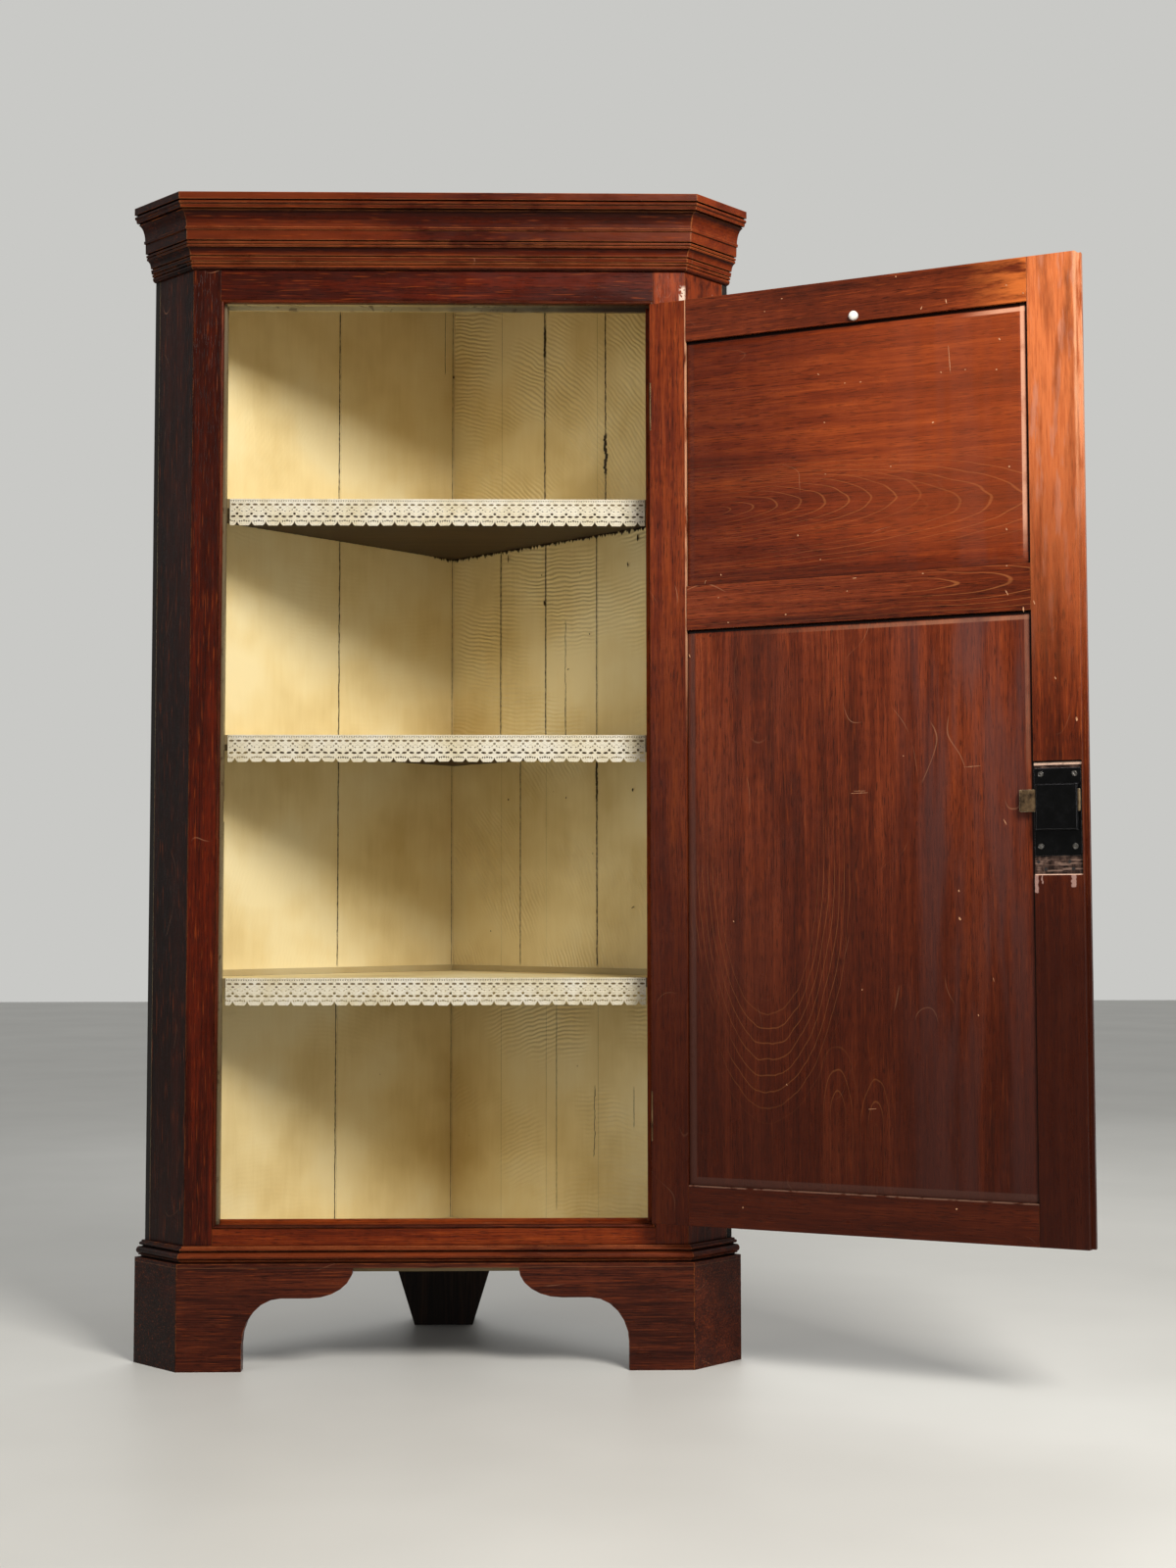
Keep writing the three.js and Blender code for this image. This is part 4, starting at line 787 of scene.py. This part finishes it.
def panelMargins(node):
    # Painted highlights lie in patches on the right and top margins, the left and lower margins are greyer,
    # and the groove beside the frame is black, with painted shadow along the top and right. The upper panel
    # also gets painted highlight and painted shade, and painted shade darkens the lower door.
    panel = doorPanels[node]
    margin, soft = doorPanels["margin"], doorPanels["grooveSoft"]

    def extra(g, p, q, colour):
        onDoor = g.turned(g.place(), Vector((pin.x, pin.y, 0)), openAngle)
        x, _, z = g.split(onDoor)
        s = g.times(x, -1.0)
        rubAndShine = g.fade(g.noise(g.place(), 30.0, 3.0, 0.6), 0.25, 0.5, 0.6, 1.0)
        fromRight = g.minus(doorPanels["right"], s)
        fromLeft = g.add(s, -doorPanels["left"])
        fromTop = g.minus(panel["high"], z)
        fromLow = g.add(z, -panel["low"])
        dull = g.either(g.fade(fromLeft, margin, margin - 0.003), g.fade(fromLow, margin, margin - 0.002))
        side = g.times(g.band(fromRight, 0.0048, margin - 0.003, 0.0008), g.fade(z, *panel["shine"]))
        over = g.times(g.band(fromTop, 0.0065, margin - 0.001, 0.0008), g.fade(s, *panel["topShine"]))
        colour = g.tint(colour, g.times(side, rubAndShine), panel["right"], panel["tone"])
        colour = g.tint(colour, g.times(over, rubAndShine), panel["top"], panel["tone"])
        narrowing = g.fade(z, 0.55, 0.85, 0.60, 1.0)
        sideGap = g.math("DIVIDE", fromRight, narrowing)
        # The groove: a dark joint, with painted shadow along the top and right
        groove = g.either(
            g.fade(fromTop, doorPanels["topShadow"], doorPanels["topShadow"] - soft),
            g.fade(sideGap, doorPanels["sideShadow"], doorPanels["sideShadow"] - soft),
            g.times(g.fade(fromLeft, doorPanels["line"], 0.0), 0.7),
            g.times(g.fade(fromLow, doorPanels["line"], 0.0), 0.7),
        )
        streaky = g.fade(g.grain(onDoor, 0.10, 24.0, 3.0), 0.40, 0.62)
        bluish = g.times(g.band(s, 0.42, 0.62, 0.05), streaky)
        colour = g.tint(colour, bluish, panel["bluish"], "#573b38")
        colour = lowerShade(g, p, q, colour)
        shining = g.times(g.fade(s, 0.15, 0.50), g.fade(z, 1.22, 1.28))
        colour = g.tint(colour, shining, 0.22, "#b1532a")
        shaded = g.times(g.fade(s, 0.40, 0.05), g.fade(z, 1.20, 1.22))
        colour = g.tint(colour, shaded, 0.42, "#380f03")
        colour = g.tint(colour, dull, panel["dull"], "#50342c")
        return g.tint(colour, groove, 0.96, doorPanels["groove"])
    return extra


# Each piece's figure is a list of ring nests: across, along, how pointed, the spacing and two radii
lowerFigure = [
    (-0.197, 0.790, 0.345, 0.0080, 0.080, 0.134),
    (-0.305, 0.400, -0.30, 0.0100, 0.0, 0.030),
    (-0.363, 0.385, -0.30, 0.0100, 0.0, 0.026),
]
upperFigure = [(1.335, -0.095, 0.17, 0.0064, 0.0, 0.060), (1.320, 0.02, 0.13, 0.0066, 0.066, 0.095)]
railFigure = [(1.195, -0.40, 0.10, 0.008, 0.0, 0.05)]

doorWood = {
    "door_hinge_stile": dict(along="z", seed=21.3, tone="warm", bloom=0.1, extra=wornLitArris),
    "door_lock_stile": dict(along="z", seed=22.1, tone="door", wear=0.8, extra=lockPatch),
    "door_top_rail": dict(along="x", seed=23.7, tone="door", extra=rubbedLitTop),
    "door_middle_rail": dict(along="x", seed=24.2, tone="door", figures=railFigure),
    "door_bottom_rail": dict(along="x", seed=25.9, tone="door", wear=0.8, extra=litArris),
    "door_panel_lower": dict(along="z", seed=26.4, tone="door", figures=lowerFigure, lines=0.36,
                             bloom=0.2, extra=panelMargins("door_panel_lower")),
    "door_panel_upper": dict(along="x", seed=27.8, tone="warm", figures=upperFigure, lines=0.24,
                             bloom=0.12, calm=0.2, extra=panelMargins("door_panel_upper")),
}
for node, choices in doorWood.items():
    finish(node, mahogany("wood_" + node, door=True, **choices))
print("door wood done")


# Each metal's codes are its dark, middle and light tone and the tone of its edges, which show wear and a
# painted highlight
metals = {
    "old_brass": dict(codes=("#33261a", "#6a5236", "#8c7250", "#c4a878"), roughness=0.38, metallic=0.9),
    "edge_lit_brass": dict(codes=("#2c2117", "#665038", "#8d7858", "#f0e3bd"), roughness=0.38,
                         metallic=0.85, edgeWearAndShine=0.85, edgeRadius=0.0008),
    "black_japan": dict(codes=("#020202", "#040404", "#0a0a0b", "#8c8c90"), roughness=0.13,
                        metallic=0.0, edgeWearAndShine=0.8, gloss=0.09),
    "screw_steel": dict(codes=("#2a2826", "#55524e", "#7d7a75", "#b5b2ac"), roughness=0.4, metallic=0.9),
}


def metal(name, codes, roughness, metallic, edgeWearAndShine=0.3, edgeRadius=0.0006, gloss=0.5):
    g = Shader(name, metallic=metallic, Specular_IOR_Level=gloss)
    p = g.place()
    stain = g.noise(p, 70.0, 4.0, 0.65)
    grit = g.grain(p, 6, 700.0, 2.0)
    normal, near = g.edges(edgeRadius)
    colour = g.streaks(g.blend(stain, 0.7, grit, 0.3), codes, 0.35, 0.66)
    # Lighter edges: wear, and a painted highlight
    g.set("Base Color", g.tint(colour, g.fade(near, 0.2, 0.9), edgeWearAndShine, codes[3]))
    g.set("Roughness", g.fade(stain, 0.35, 0.65, roughness * 0.75, roughness * 1.35))
    g.bump(g.blend(stain, 0.6, grit, 0.4), 0.0002, normal, 0.6)
    return g.material


def whiteRubber():
    g = Shader("white_rubber", roughness=0.45)
    p = g.place()
    stain = g.noise(p, 220.0, 3.0)
    normal, _ = g.edges(0.0012)
    colour = g.streaks(stain, ("#cfcabd", "#e9e6de", "#f4f2ec"), 0.3, 0.7)
    # Painted shade darkens the crevices
    g.set("Base Color", g.tint(colour, g.fade(g.crevices(0.004), 0.2, 0.8), 0.5, "#7d7362"))
    g.bump(stain, 0.0002, normal, 0.5)
    return g.material


brass, edgeLitBrass, japan, steel = (metal(name, **choices) for name, choices in metals.items())
for node in nodes:
    if node.startswith("hinge_") or node == "keyhole_escutcheon":
        finish(node, brass)
    if node == "lock_bolt":
        finish(node, edgeLitBrass)
    if node in ("lock_plate", "lock_case"):
        finish(node, japan)
finish("door_buffer", whiteRubber())
print("metal done")


def meshPiece(name, body, build, material, at=None):
    # A piece whose mesh is built by a function, on the body that carries it
    work = bmesh.new()
    build(work)
    bmesh.ops.recalc_face_normals(work, faces=work.faces)
    mesh = bpy.data.meshes.new(name)
    work.to_mesh(mesh)
    work.free()
    mesh.materials.append(material)
    obj = linked(name, mesh)
    if at is not None:
        obj.matrix_world = at
    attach(obj, body)
    return obj


def facing(point, normal, up=Vector((0, 0, 1))):
    # A place whose z lies along normal
    z = normal.normalized()
    x = up.cross(z).normalized()
    y = z.cross(x)
    turn = Matrix((x, y, z)).transposed().to_4x4()
    return Matrix.Translation(point) @ turn


def screwHead(work, radius, proud, slotTurn):
    # A slotted, slightly domed head whose foot is on z = 0
    profile = [(radius, 0.0), (radius, proud * 0.4), (radius * 0.82, proud * 0.85), (radius * 0.4, proud)]
    sides = 20
    slotHalf, slotDeep = radius * 0.224, proud * 0.7
    loops = []
    for r, h in profile:
        loop = []
        for i in range(sides):
            a = 2 * math.pi * i / sides
            x, y = r * math.cos(a), r * math.sin(a)
            inSlot = abs(x * math.sin(slotTurn) - y * math.cos(slotTurn)) < slotHalf
            sink = slotDeep if inSlot and h > proud * 0.5 else 0.0
            loop.append(work.verts.new((x, y, h - sink)))
        loops.append(loop)
    for low, high in zip(loops, loops[1:]):
        for i in range(sides):
            k = (i + 1) % sides
            work.faces.new((low[i], low[k], high[k], high[i]))
    work.faces.new(loops[-1])
    work.faces.new(loops[0][::-1])


# The lock's screws: s, z and how far each slot is turned. The face is that of the plate, which lies
# in the sinking, as a depth from the door's front.
lockScrews = {
    "places": [(0.6172, 0.9076, 0.9), (0.6660, 0.9077, 2.2),
               (0.6165, 0.8028, 0.4), (0.6665, 0.8024, 1.4)],
    "radius": 0.0042, "proud": 0.0016, "sunk": 0.0038, "seat": 0.0003, "plate": 0.0015,
}
sinkFloor = doorThickness - lockScrews["sunk"]
plateFace = sinkFloor + lockScrews["seat"] + lockScrews["plate"]
for i, (s, z, turn) in enumerate(lockScrews["places"]):
    meshPiece(f"lock_screw_{i + 1}", "door",
              lambda w, t=turn: screwHead(w, lockScrews["radius"], lockScrews["proud"], t), steel,
              facing(doorPoint(s, plateFace, z), intoDoor))

# The hinges' screws: the share of the leaf's height and of its width at which each one sits, and how
# far the leaves' faces lie from the pin, on the door and on the frame
hingeScrews = {
    "places": [(0.16, 0.4), (0.5, 0.62), (0.84, 0.4)], "leafWidth": 0.022, "doorFace": 0.0050,
    "frameFace": 0.0043, "radius": 0.0036, "proud": 0.0003,
}
for name in ("lower", "upper"):
    low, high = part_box(f"hinge_{name}_door_leaf")
    for i, (up, out) in enumerate(hingeScrews["places"]):
        z = low.z + (high.z - low.z) * up
        d = hingeScrews["leafWidth"] * out
        sizes = hingeScrews["radius"], hingeScrews["proud"]
        onDoor = facing(doorPoint(hingeScrews["doorFace"], d, z), -alongDoor)
        onFrame = facing(Vector((pin.x - hingeScrews["frameFace"], frontY + d, z)), Vector((-1, 0, 0)))
        for half, body, turn, place in (("door", "door", 0.5, onDoor), ("frame", "carcass", 1.1, onFrame)):
            meshPiece(f"hinge_{name}_{half}_screw_{i + 1}", body,
                      lambda w, t=i + turn: screwHead(w, *sizes, t), brass, place)
print("screws done")


def flatMarks(name, body, spots, material):
    # Small ragged marks that lie on a face. Each is a place, the face's normal, a width, a height and
    # how far it is turned.
    def build(work):
        seeded = random.Random(7)
        corners, lift = 10, 0.00015
        for point, normal, wide, high, turn in spots:
            place = facing(point + normal * lift, normal) @ Matrix.Rotation(turn, 4, "Z")
            ring = []
            for i in range(corners):
                a = 2 * math.pi * i / corners
                r = seeded.uniform(0.75, 1.15)
                corner = Vector((r * wide / 2 * math.cos(a), r * high / 2 * math.sin(a), 0))
                ring.append(work.verts.new(place @ corner))
            work.faces.new(ring)
    return meshPiece(name, body, build, material)


def stainMaterial(name, inner, outer):
    g = Shader(name, roughness=0.8)
    p = g.place()
    g.set("Base Color", g.ramp(g.noise(p, 500.0, 3.0), [(0.35, inner), (0.65, outer)]))
    g.bump(g.noise(p, 900.0, 2.0), 0.0003, None, 0.5)
    return g.material


# Nail holes and knocks in the paint: u and z in millimetres, width, height, and how far it is turned
leftMarks = [
    (478, 1301, 4, 5, 0), (381, 1298, 5, 4, 0.4), (286, 1295, 4, 4, 0), (190, 1305, 4, 4, 0),
    (262, 1243, 4, 9, 0.3), (28, 1148, 4, 5, 0), (134, 1140, 2, 2, 0), (93, 1303, 4, 2, 0.2),
    (468, 935, 3, 2, 0), (499, 907, 4, 4, 0), (389, 908, 5, 5, 0), (283, 906, 4, 5, 0.5),
    (179, 913, 4, 5, 0), (61, 913, 4, 5, 0.6), (33, 485, 4, 4, 0.3), (107, 471, 3, 3, 0),
    (337, 432, 4, 3, 0), (291, 382, 3, 4, 0), (188, 366, 3, 5, 0), (100, 405, 4, 9, -0.4),
    (81, 367, 3, 3, 0), (376, 345, 4, 8, 0.2), (469, 344, 3, 5, 0.3), (134, 297, 3, 11, -0.8),
    (118, 263, 13, 3, 0), (232, 273, 4, 5, 0), (74, 275, 3, 3, 0), (34, 190, 7, 3, 0),
    (417, 750, 2, 2, 0), (381, 701, 4, 2, 0), (396, 689, 3, 2, 0), (352, 1667, 2, 10, -0.7),
    (491, 1557, 8, 7, 0.3), (488, 1155, 8, 12, 0.2),
]
rightMarks = [
    (235, 1302, 3, 3, 0), (242, 1252, 6, 9, 0.2), (442, 1297, 3, 9, 0.2), (352, 1187, 3, 3, 0),
    (329, 1295, 2, 2, 0), (300, 1130, 5, 2, 0.3), (465, 1340, 4, 12, 0), (151, 909, 4, 4, 0),
    (295, 907, 3, 4, 0), (452, 914, 4, 5, 0), (452, 717, 9, 2, 0.5), (106, 676, 3, 2, 0),
    (359, 809, 2, 3, 0), (4, 1697, 5, 6, 0), (150, 1340, 3, 14, 0),
]
holeStain = stainMaterial("nail_holes", "#1a1008", "#5a4222")
for side, marks, name in ((-1, leftMarks, "left"), (1, rightMarks, "right")):
    flatMarks(f"paint_marks_{name}", "carcass",
              [(wallPoint(side, u / 1000, z / 1000), fromWall(side), w / 1000, h / 1000, turn)
               for u, z, w, h, turn in marks], holeStain)

# Holes that an older lock has left in the sinking: s and z
oldHoles = [(0.6120, 0.7800), (0.6575, 0.7806), (0.6225, 0.7695), (0.6625, 0.7700)]
flatMarks("old_screw_holes", "door",
          [(doorPoint(s, sinkFloor, z), intoDoor, 0.0058, 0.0056, 0) for s, z in oldHoles],
          stainMaterial("screw_holes", "#050302", "#1a0d08"))

# Pale nicks and scratches on the door: s and z in millimetres, width, length, and how far it is turned
doorNicks = [
    (340, 1213, 7, 1.4, 0.1), (446, 1213, 4, 1.4, 0), (572, 1216, 3, 2, 0), (120, 1197, 2, 2, 0),
    (230, 1164, 3, 2, 0), (136, 1157, 2, 2, 0.4), (328, 1194, 2, 1.5, 0), (572, 1176, 1.5, 9, 0.5),
    (448, 1616, 2, 6, -0.5), (486, 1622, 1.5, 7, 0.2), (409, 1669, 2, 3, 0), (227, 1657, 3, 1.5, 0),
    (199, 1640, 2, 2, 0.5), (577, 1635, 3, 2, 0), (602, 1620, 2, 3, 0.3), (284, 1533, 1.5, 4, 0.7),
    (326, 1515, 2, 2, 0), (351, 1514, 3, 1.5, 0.3), (476, 1516, 2, 3, 0.4), (513, 1516, 2, 2, 0),
    (560, 1511, 2.5, 2, 0.3), (489, 1534, 0.9, 44, 0.06), (565, 1556, 2, 4, 0.6), (293, 1457, 2.5, 2, 0),
    (463, 1441, 4, 2, 0.3), (577, 1364, 3, 3, 0.2), (294, 1377, 2, 1.5, 0), (397, 1380, 2, 2, 0.4),
    (572, 1271, 2, 4, 0.5), (249, 1286, 2, 3, 0), (285, 1246, 2, 2, 0), (70, 1109, 2, 6, 0.4),
    (412, 941, 2, 1.5, 0), (343, 887, 36, 0.6, 0.02), (343, 890, 22, 0.5, 0), (517, 922, 26, 0.6, 0.05),
    (564, 839, 1.4, 11, 0.5), (494, 739, 2, 4, 0.2), (495, 698, 3, 5, 0.6), (141, 694, 1.5, 3, 0.6),
    (345, 592, 1.5, 3, 0), (521, 557, 1.5, 3, 0.5), (544, 609, 0.8, 8, 0.2), (225, 447, 1.5, 3, 0.7),
    (359, 415, 13, 0.7, 0.1), (486, 275, 3, 2, 0.3), (155, 259, 1.5, 3, 0), (671, 986, 3, 6, 0.2),
    (641, 1047, 1.5, 5, 0.5), (612, 1159, 1.5, 7, 0.3), (97, 1224, 0.8, 7, -0.3), (123, 1233, 2, 3, 0.4),
    (596, 1150, 2, 9, 0.1),
]
panelSunk = 0.004  # the panels' faces lie this much deeper than the door's inner face


def onDoorFace(s, z):
    lower, upper = doorPanels["door_panel_lower"], doorPanels["door_panel_upper"]
    besideRail = lower["low"] < z < upper["high"] and not lower["high"] < z < upper["low"]
    inPanels = doorPanels["left"] < s < doorPanels["right"] and besideRail
    return doorPoint(s, doorThickness - (panelSunk if inPanels else 0.0), z)


flatMarks("door_nicks", "door",
          [(onDoorFace(s / 1000, z / 1000), intoDoor, w / 1000, h / 1000, turn)
           for s, z, w, h, turn in doorNicks],
          stainMaterial("bared_wood", "#9a5f3a", "#cf9c74"))
print("marks done")

# A shelf's lace: how often its pattern repeats, how thick it is, how deep it hangs, and each row of
# holes as a height below the top edge, a width and a height. The weave's lines and rows have their
# spacing, and towards the hem the strip leans out, flutters and drops a little.
laceLow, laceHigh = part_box("lace_edging_1")
lace = {
    "repeats": 29, "thread": 0.0009, "drop": 0.0425, "notch": -0.0362, "picot": 0.0008,
    "topHoles": (-0.0030, 0.0018, 0.0026), "upperSlots": (-0.0092, 0.0084, 0.0034),
    "diamonds": (-0.0140, 0.0044, 0.0030), "petals": (0.0014, 0.0030), "eyes": (-0.0240, 0.0046, 0.0042),
    "lowerSlots": (-0.0284, 0.0080, 0.0036), "hemHoles": (-0.0352, 0.0021, 0.0032),
    "weave": (0.0019, 0.0026), "lattice": 0.008, "lean": 0.0010, "flutter": 0.0007,
    "tones": ("#e6d8b2", "#f5ebd0", "#fbf5e4"), "shade": "#86704a",
}


def ellipse(x, z, wide, high, turn=0.0, steps=8):
    points = []
    c, s = math.cos(turn), math.sin(turn)
    for i in range(steps):
        a = 2 * math.pi * i / steps
        px, pz = wide / 2 * math.cos(a), high / 2 * math.sin(a)
        points.append((x + px * c - pz * s, z + px * s + pz * c))
    return points


def laceRepeat(pitch):
    # One scallop of the lace: its outline, then its holes. A notch in the hem is in its middle.
    hem, notch = -lace["drop"], lace["notch"]
    outline = [(0, 0), (0, hem)]
    for k in range(1, 24):
        x = k / 24
        swell = min(1.0, abs(math.cos(math.pi * x)) * 1.9) ** 0.8
        picot = lace["picot"] * abs(math.sin(math.pi * 6 * x))
        outline.append((x * pitch, notch + (hem - notch) * swell - picot * swell))
    outline += [(pitch, hem), (pitch, 0)]
    for k in range(7, 0, -1):
        outline.append((k * pitch / 8, 0.0004 if k % 2 else -0.0002))
    holes = []
    middle = pitch / 2
    for k in range(6):
        lean = 0.5 if k % 2 else -0.5
        holes.append(ellipse((k + 0.5) * pitch / 6, *lace["topHoles"], lean, 6))
    for side in (-1, 1):
        quarter = middle + side * pitch / 4
        holes.append(ellipse(quarter, *lace["upperSlots"]))
        holes.append(ellipse(quarter + side * 0.0002, *lace["lowerSlots"], -side * 0.10))
        for step, drop in ((0.0036, 0.0035), (0.0078, 0.0058)):
            z = lace["diamonds"][0] - drop
            holes.append(ellipse(middle + side * step, z, *lace["petals"], side * 0.8, 6))
        for step in (0.0042, 0.0076, 0.0106):
            z = lace["hemHoles"][0] - 0.0009 * math.sin(step * 300)
            holes.append(ellipse(middle + side * step, z, *lace["hemHoles"][1:], side * 0.15, 7))
    holes.append(ellipse(middle, *lace["diamonds"]))
    holes.append(ellipse(middle, *lace["eyes"]))
    return [outline] + holes


def laceMaterial():
    g = Shader("cotton_lace", roughness=0.9, Specular_IOR_Level=0.2, Sheen_Weight=0.2)
    x, _, z = g.split(g.place())
    p = g.place()
    threadTurns, rowTurns = (2 * math.pi / spacing for spacing in lace["weave"])
    twist = g.math("SINE", g.times(g.add(x, g.times(z, 0.8)), threadTurns))
    cross = g.math("SINE", g.times(g.add(x, g.times(z, -0.8)), threadTurns))
    rows = g.math("SINE", g.times(z, rowTurns))
    knots = g.add(g.either(twist, cross), g.times(rows, 0.4))
    pitch = (laceHigh.x - laceLow.x) / lace["repeats"]
    fold = g.math("PINGPONG", g.add(x, -laceLow.x), pitch / 2)
    stain = g.noise(p, 24.0, 3.0)
    fibre = g.noise(p, 900.0, 2.0)
    colour = g.streaks(g.blend(stain, 0.6, fibre, 0.4), lace["tones"], 0.35, 0.65)
    colour = g.mix(g.fade(knots, 0.2, -1.1, 0.0, 0.5), colour, lace["shade"])
    slant = g.times(g.math("PINGPONG", z, lace["lattice"]), pitch / (2 * lace["lattice"]))
    lattice = g.math("ABSOLUTE", g.minus(fold, slant))
    g.set("Base Color", g.tint(colour, g.fade(lattice, 0.0008, 0.0002), 0.35, lace["shade"]))
    g.bump(g.add(knots, fibre), 0.0006, None, 0.8)
    return g.material


def laceUnit(index, pitch):
    # The mesh of one repeat, lying flat
    curve = bpy.data.curves.new(f"lace_{index}_unit", "CURVE")
    curve.dimensions = "2D"
    curve.fill_mode = "BOTH"
    curve.extrude = lace["thread"] / 2
    for points in laceRepeat(pitch):
        spline = curve.splines.new("POLY")
        spline.points.add(len(points) - 1)
        for point, (x, z) in zip(spline.points, points):
            point.co = (x, z, 0, 1)
        spline.use_cyclic_u = True
    unit = linked(f"lace_{index}_unit", curve)
    bpy.context.view_layer.update()
    drawn = bpy.data.meshes.new_from_object(unit.evaluated_get(bpy.context.evaluated_depsgraph_get()))
    bpy.data.objects.remove(unit)
    return drawn


def laceStrip(index, material):
    # Thin openwork with real holes, tacked along the top of the shelf's front edge
    node = f"lace_edging_{index}"
    low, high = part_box(node)
    length = high.x - low.x
    pitch = length / lace["repeats"]
    work = bmesh.new()
    work.from_mesh(laceUnit(index, pitch))
    source = work.verts[:] + work.edges[:] + work.faces[:]
    for k in range(1, lace["repeats"]):
        copy = bmesh.ops.duplicate(work, geom=source)["geom"]
        points = [v for v in copy if isinstance(v, bmesh.types.BMVert)]
        bmesh.ops.translate(work, verts=points, vec=(k * pitch, 0, 0))
    bmesh.ops.remove_doubles(work, verts=work.verts[:], dist=0.00002)
    seams = []  # the walls that are left inside, between two repeats
    for face in work.faces:
        share = [v.co.x / pitch for v in face.verts]
        nearest = round(share[0])
        if 0 < nearest < lace["repeats"] and all(abs(k - nearest) < 0.001 for k in share):
            seams.append(face)
    bmesh.ops.delete(work, geom=seams, context="FACES_ONLY")

    # Towards the hem it hangs less straight
    middle = (low.y + high.y) / 2
    for v in work.verts:
        x, z, thick = v.co.x + low.x, v.co.y, v.co.z
        hang = -z / lace["drop"]
        sway = noise.noise(Vector((x * 9, index * 3.7, 0)))
        flutter = noise.noise(Vector((x * 45, index * 5.1, z * 30)))
        y = middle - thick - lace["lean"] * hang * (0.6 + sway) - lace["flutter"] * flutter * hang
        drop = lace["flutter"] * noise.noise(Vector((x * 22, index * 9.3, 1.0))) * hang
        v.co = Vector((x, y, high.z + z + drop))
    mesh = bpy.data.meshes.new(f"lace_{index}")
    work.to_mesh(mesh)
    area = min(sum(face.calc_area() for face in work.faces) / 2, lace["drop"] * length)
    work.free()
    mesh.materials.append(material)
    obj = linked(f"lace_{index}", mesh)
    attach(obj, "carcass")
    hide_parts(node)
    return obj


cottonLace = laceMaterial()
for index in (1, 2, 3):
    laceStrip(index, cottonLace)
print("lace done")

# The stage, and each lamp as its place, what it looks at, its size, its power and its colour
stage = {"floorReach": 14.0, "floor": ("#d3d2cc", "#dddcd6"), "backdrop": "#c9c9c6", "sky": 0.30}
lamps = {
    "key": ((1.5, -2.9, 2.9), (0.1, -0.3, 0.9), (1.2, 1.2), 135, (1.0, 0.97, 0.93)),
    "fill": ((-2.6, -2.6, 1.6), (0.1, -0.3, 0.9), (2.4, 2.4), 16, (1, 1, 1)),
    "back": ((0.5, 2.6, 2.8), (0.1, 0.0, 1.0), (2.4, 1.6), 30, (1, 1, 1)),
}


def paleFloor():
    g = Shader("pale_floor", roughness=0.45, Specular_IOR_Level=0.3)
    p = g.place()
    dark, light = stage["floor"]
    g.set("Base Color", g.ramp(g.noise(p, 1.4, 3.0), [(0.3, dark), (0.7, light)]))
    g.bump(g.noise(p, 40.0, 3.0), 0.0004, None, 0.3)
    return g.material


reach = stage["floorReach"]
floorMesh = bpy.data.meshes.new("floor")
floorMesh.from_pydata([(-reach, -reach, 0), (reach, -reach, 0), (reach, reach, 0), (-reach, reach, 0)], [],
                      [(0, 1, 2, 3)])
floorMesh.materials.append(paleFloor())
linked("floor", floorMesh)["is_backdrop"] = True

for name, (place, target, size, power, colour) in lamps.items():
    light = bpy.data.lights.new(name, "AREA")
    light.shape = "RECTANGLE"
    light.size, light.size_y = size
    light.energy = power
    light.color = colour
    lamp = linked(name, light)
    lamp.location = place
    lamp.rotation_mode = "QUATERNION"
    lamp.rotation_quaternion = (Vector(target) - Vector(place)).to_track_quat("-Z", "Y")

# A white sky lights the cupboard, and the camera and shiny things see the grey backdrop instead
world = bpy.data.worlds.new("studio")
bpy.context.scene.world = world
world.use_nodes = True
tree = world.node_tree
sky = tree.nodes["Background"]
sky.inputs["Color"].default_value = (1, 1, 1, 1)
sky.inputs["Strength"].default_value = stage["sky"]
backdrop = newNode(tree, "Background", (stage["backdrop"],))
rays = newNode(tree, "LightPath").outputs
mirrored = newNode(tree, "Math", (rays["Is Glossy Ray"], rays["Is Transmission Ray"]), operation="MAXIMUM")
grey = newNode(tree, "Math", (rays["Is Camera Ray"], mirrored.outputs[0]), operation="MAXIMUM")
choice = newNode(tree, "MixShader", (grey.outputs[0], sky.outputs[0], backdrop.outputs[0]))
tree.links.new(choice.outputs[0], tree.nodes["World Output"].inputs[0])

# The camera that was fitted to the photo's edges, with its angles in radians
cameraFit = {
    "place": (0.1825, -3.7609, 0.7020), "yaw": 0.018, "pitch": 0.062, "roll": -0.001, "lens": 48.94,
}
camera = bpy.data.cameras.new("camera")
camera.sensor_width = 36.0
camera.lens = cameraFit["lens"]
eye = linked("camera", camera)
yaw, pitch, roll = cameraFit["yaw"], cameraFit["pitch"], cameraFit["roll"]
ahead = Vector((math.sin(yaw) * math.cos(pitch), math.cos(yaw) * math.cos(pitch), math.sin(pitch)))
right = Vector((math.cos(yaw), -math.sin(yaw), 0))
up = right.cross(ahead)
right, up = right * math.cos(roll) + up * math.sin(roll), up * math.cos(roll) - right * math.sin(roll)
turn = Matrix((right, up, -ahead)).transposed().to_4x4()
eye.matrix_world = Matrix.Translation(cameraFit["place"]) @ turn
bpy.context.scene.camera = eye
bpy.context.scene.view_settings.view_transform = "Standard"
print("stage done")

low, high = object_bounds()
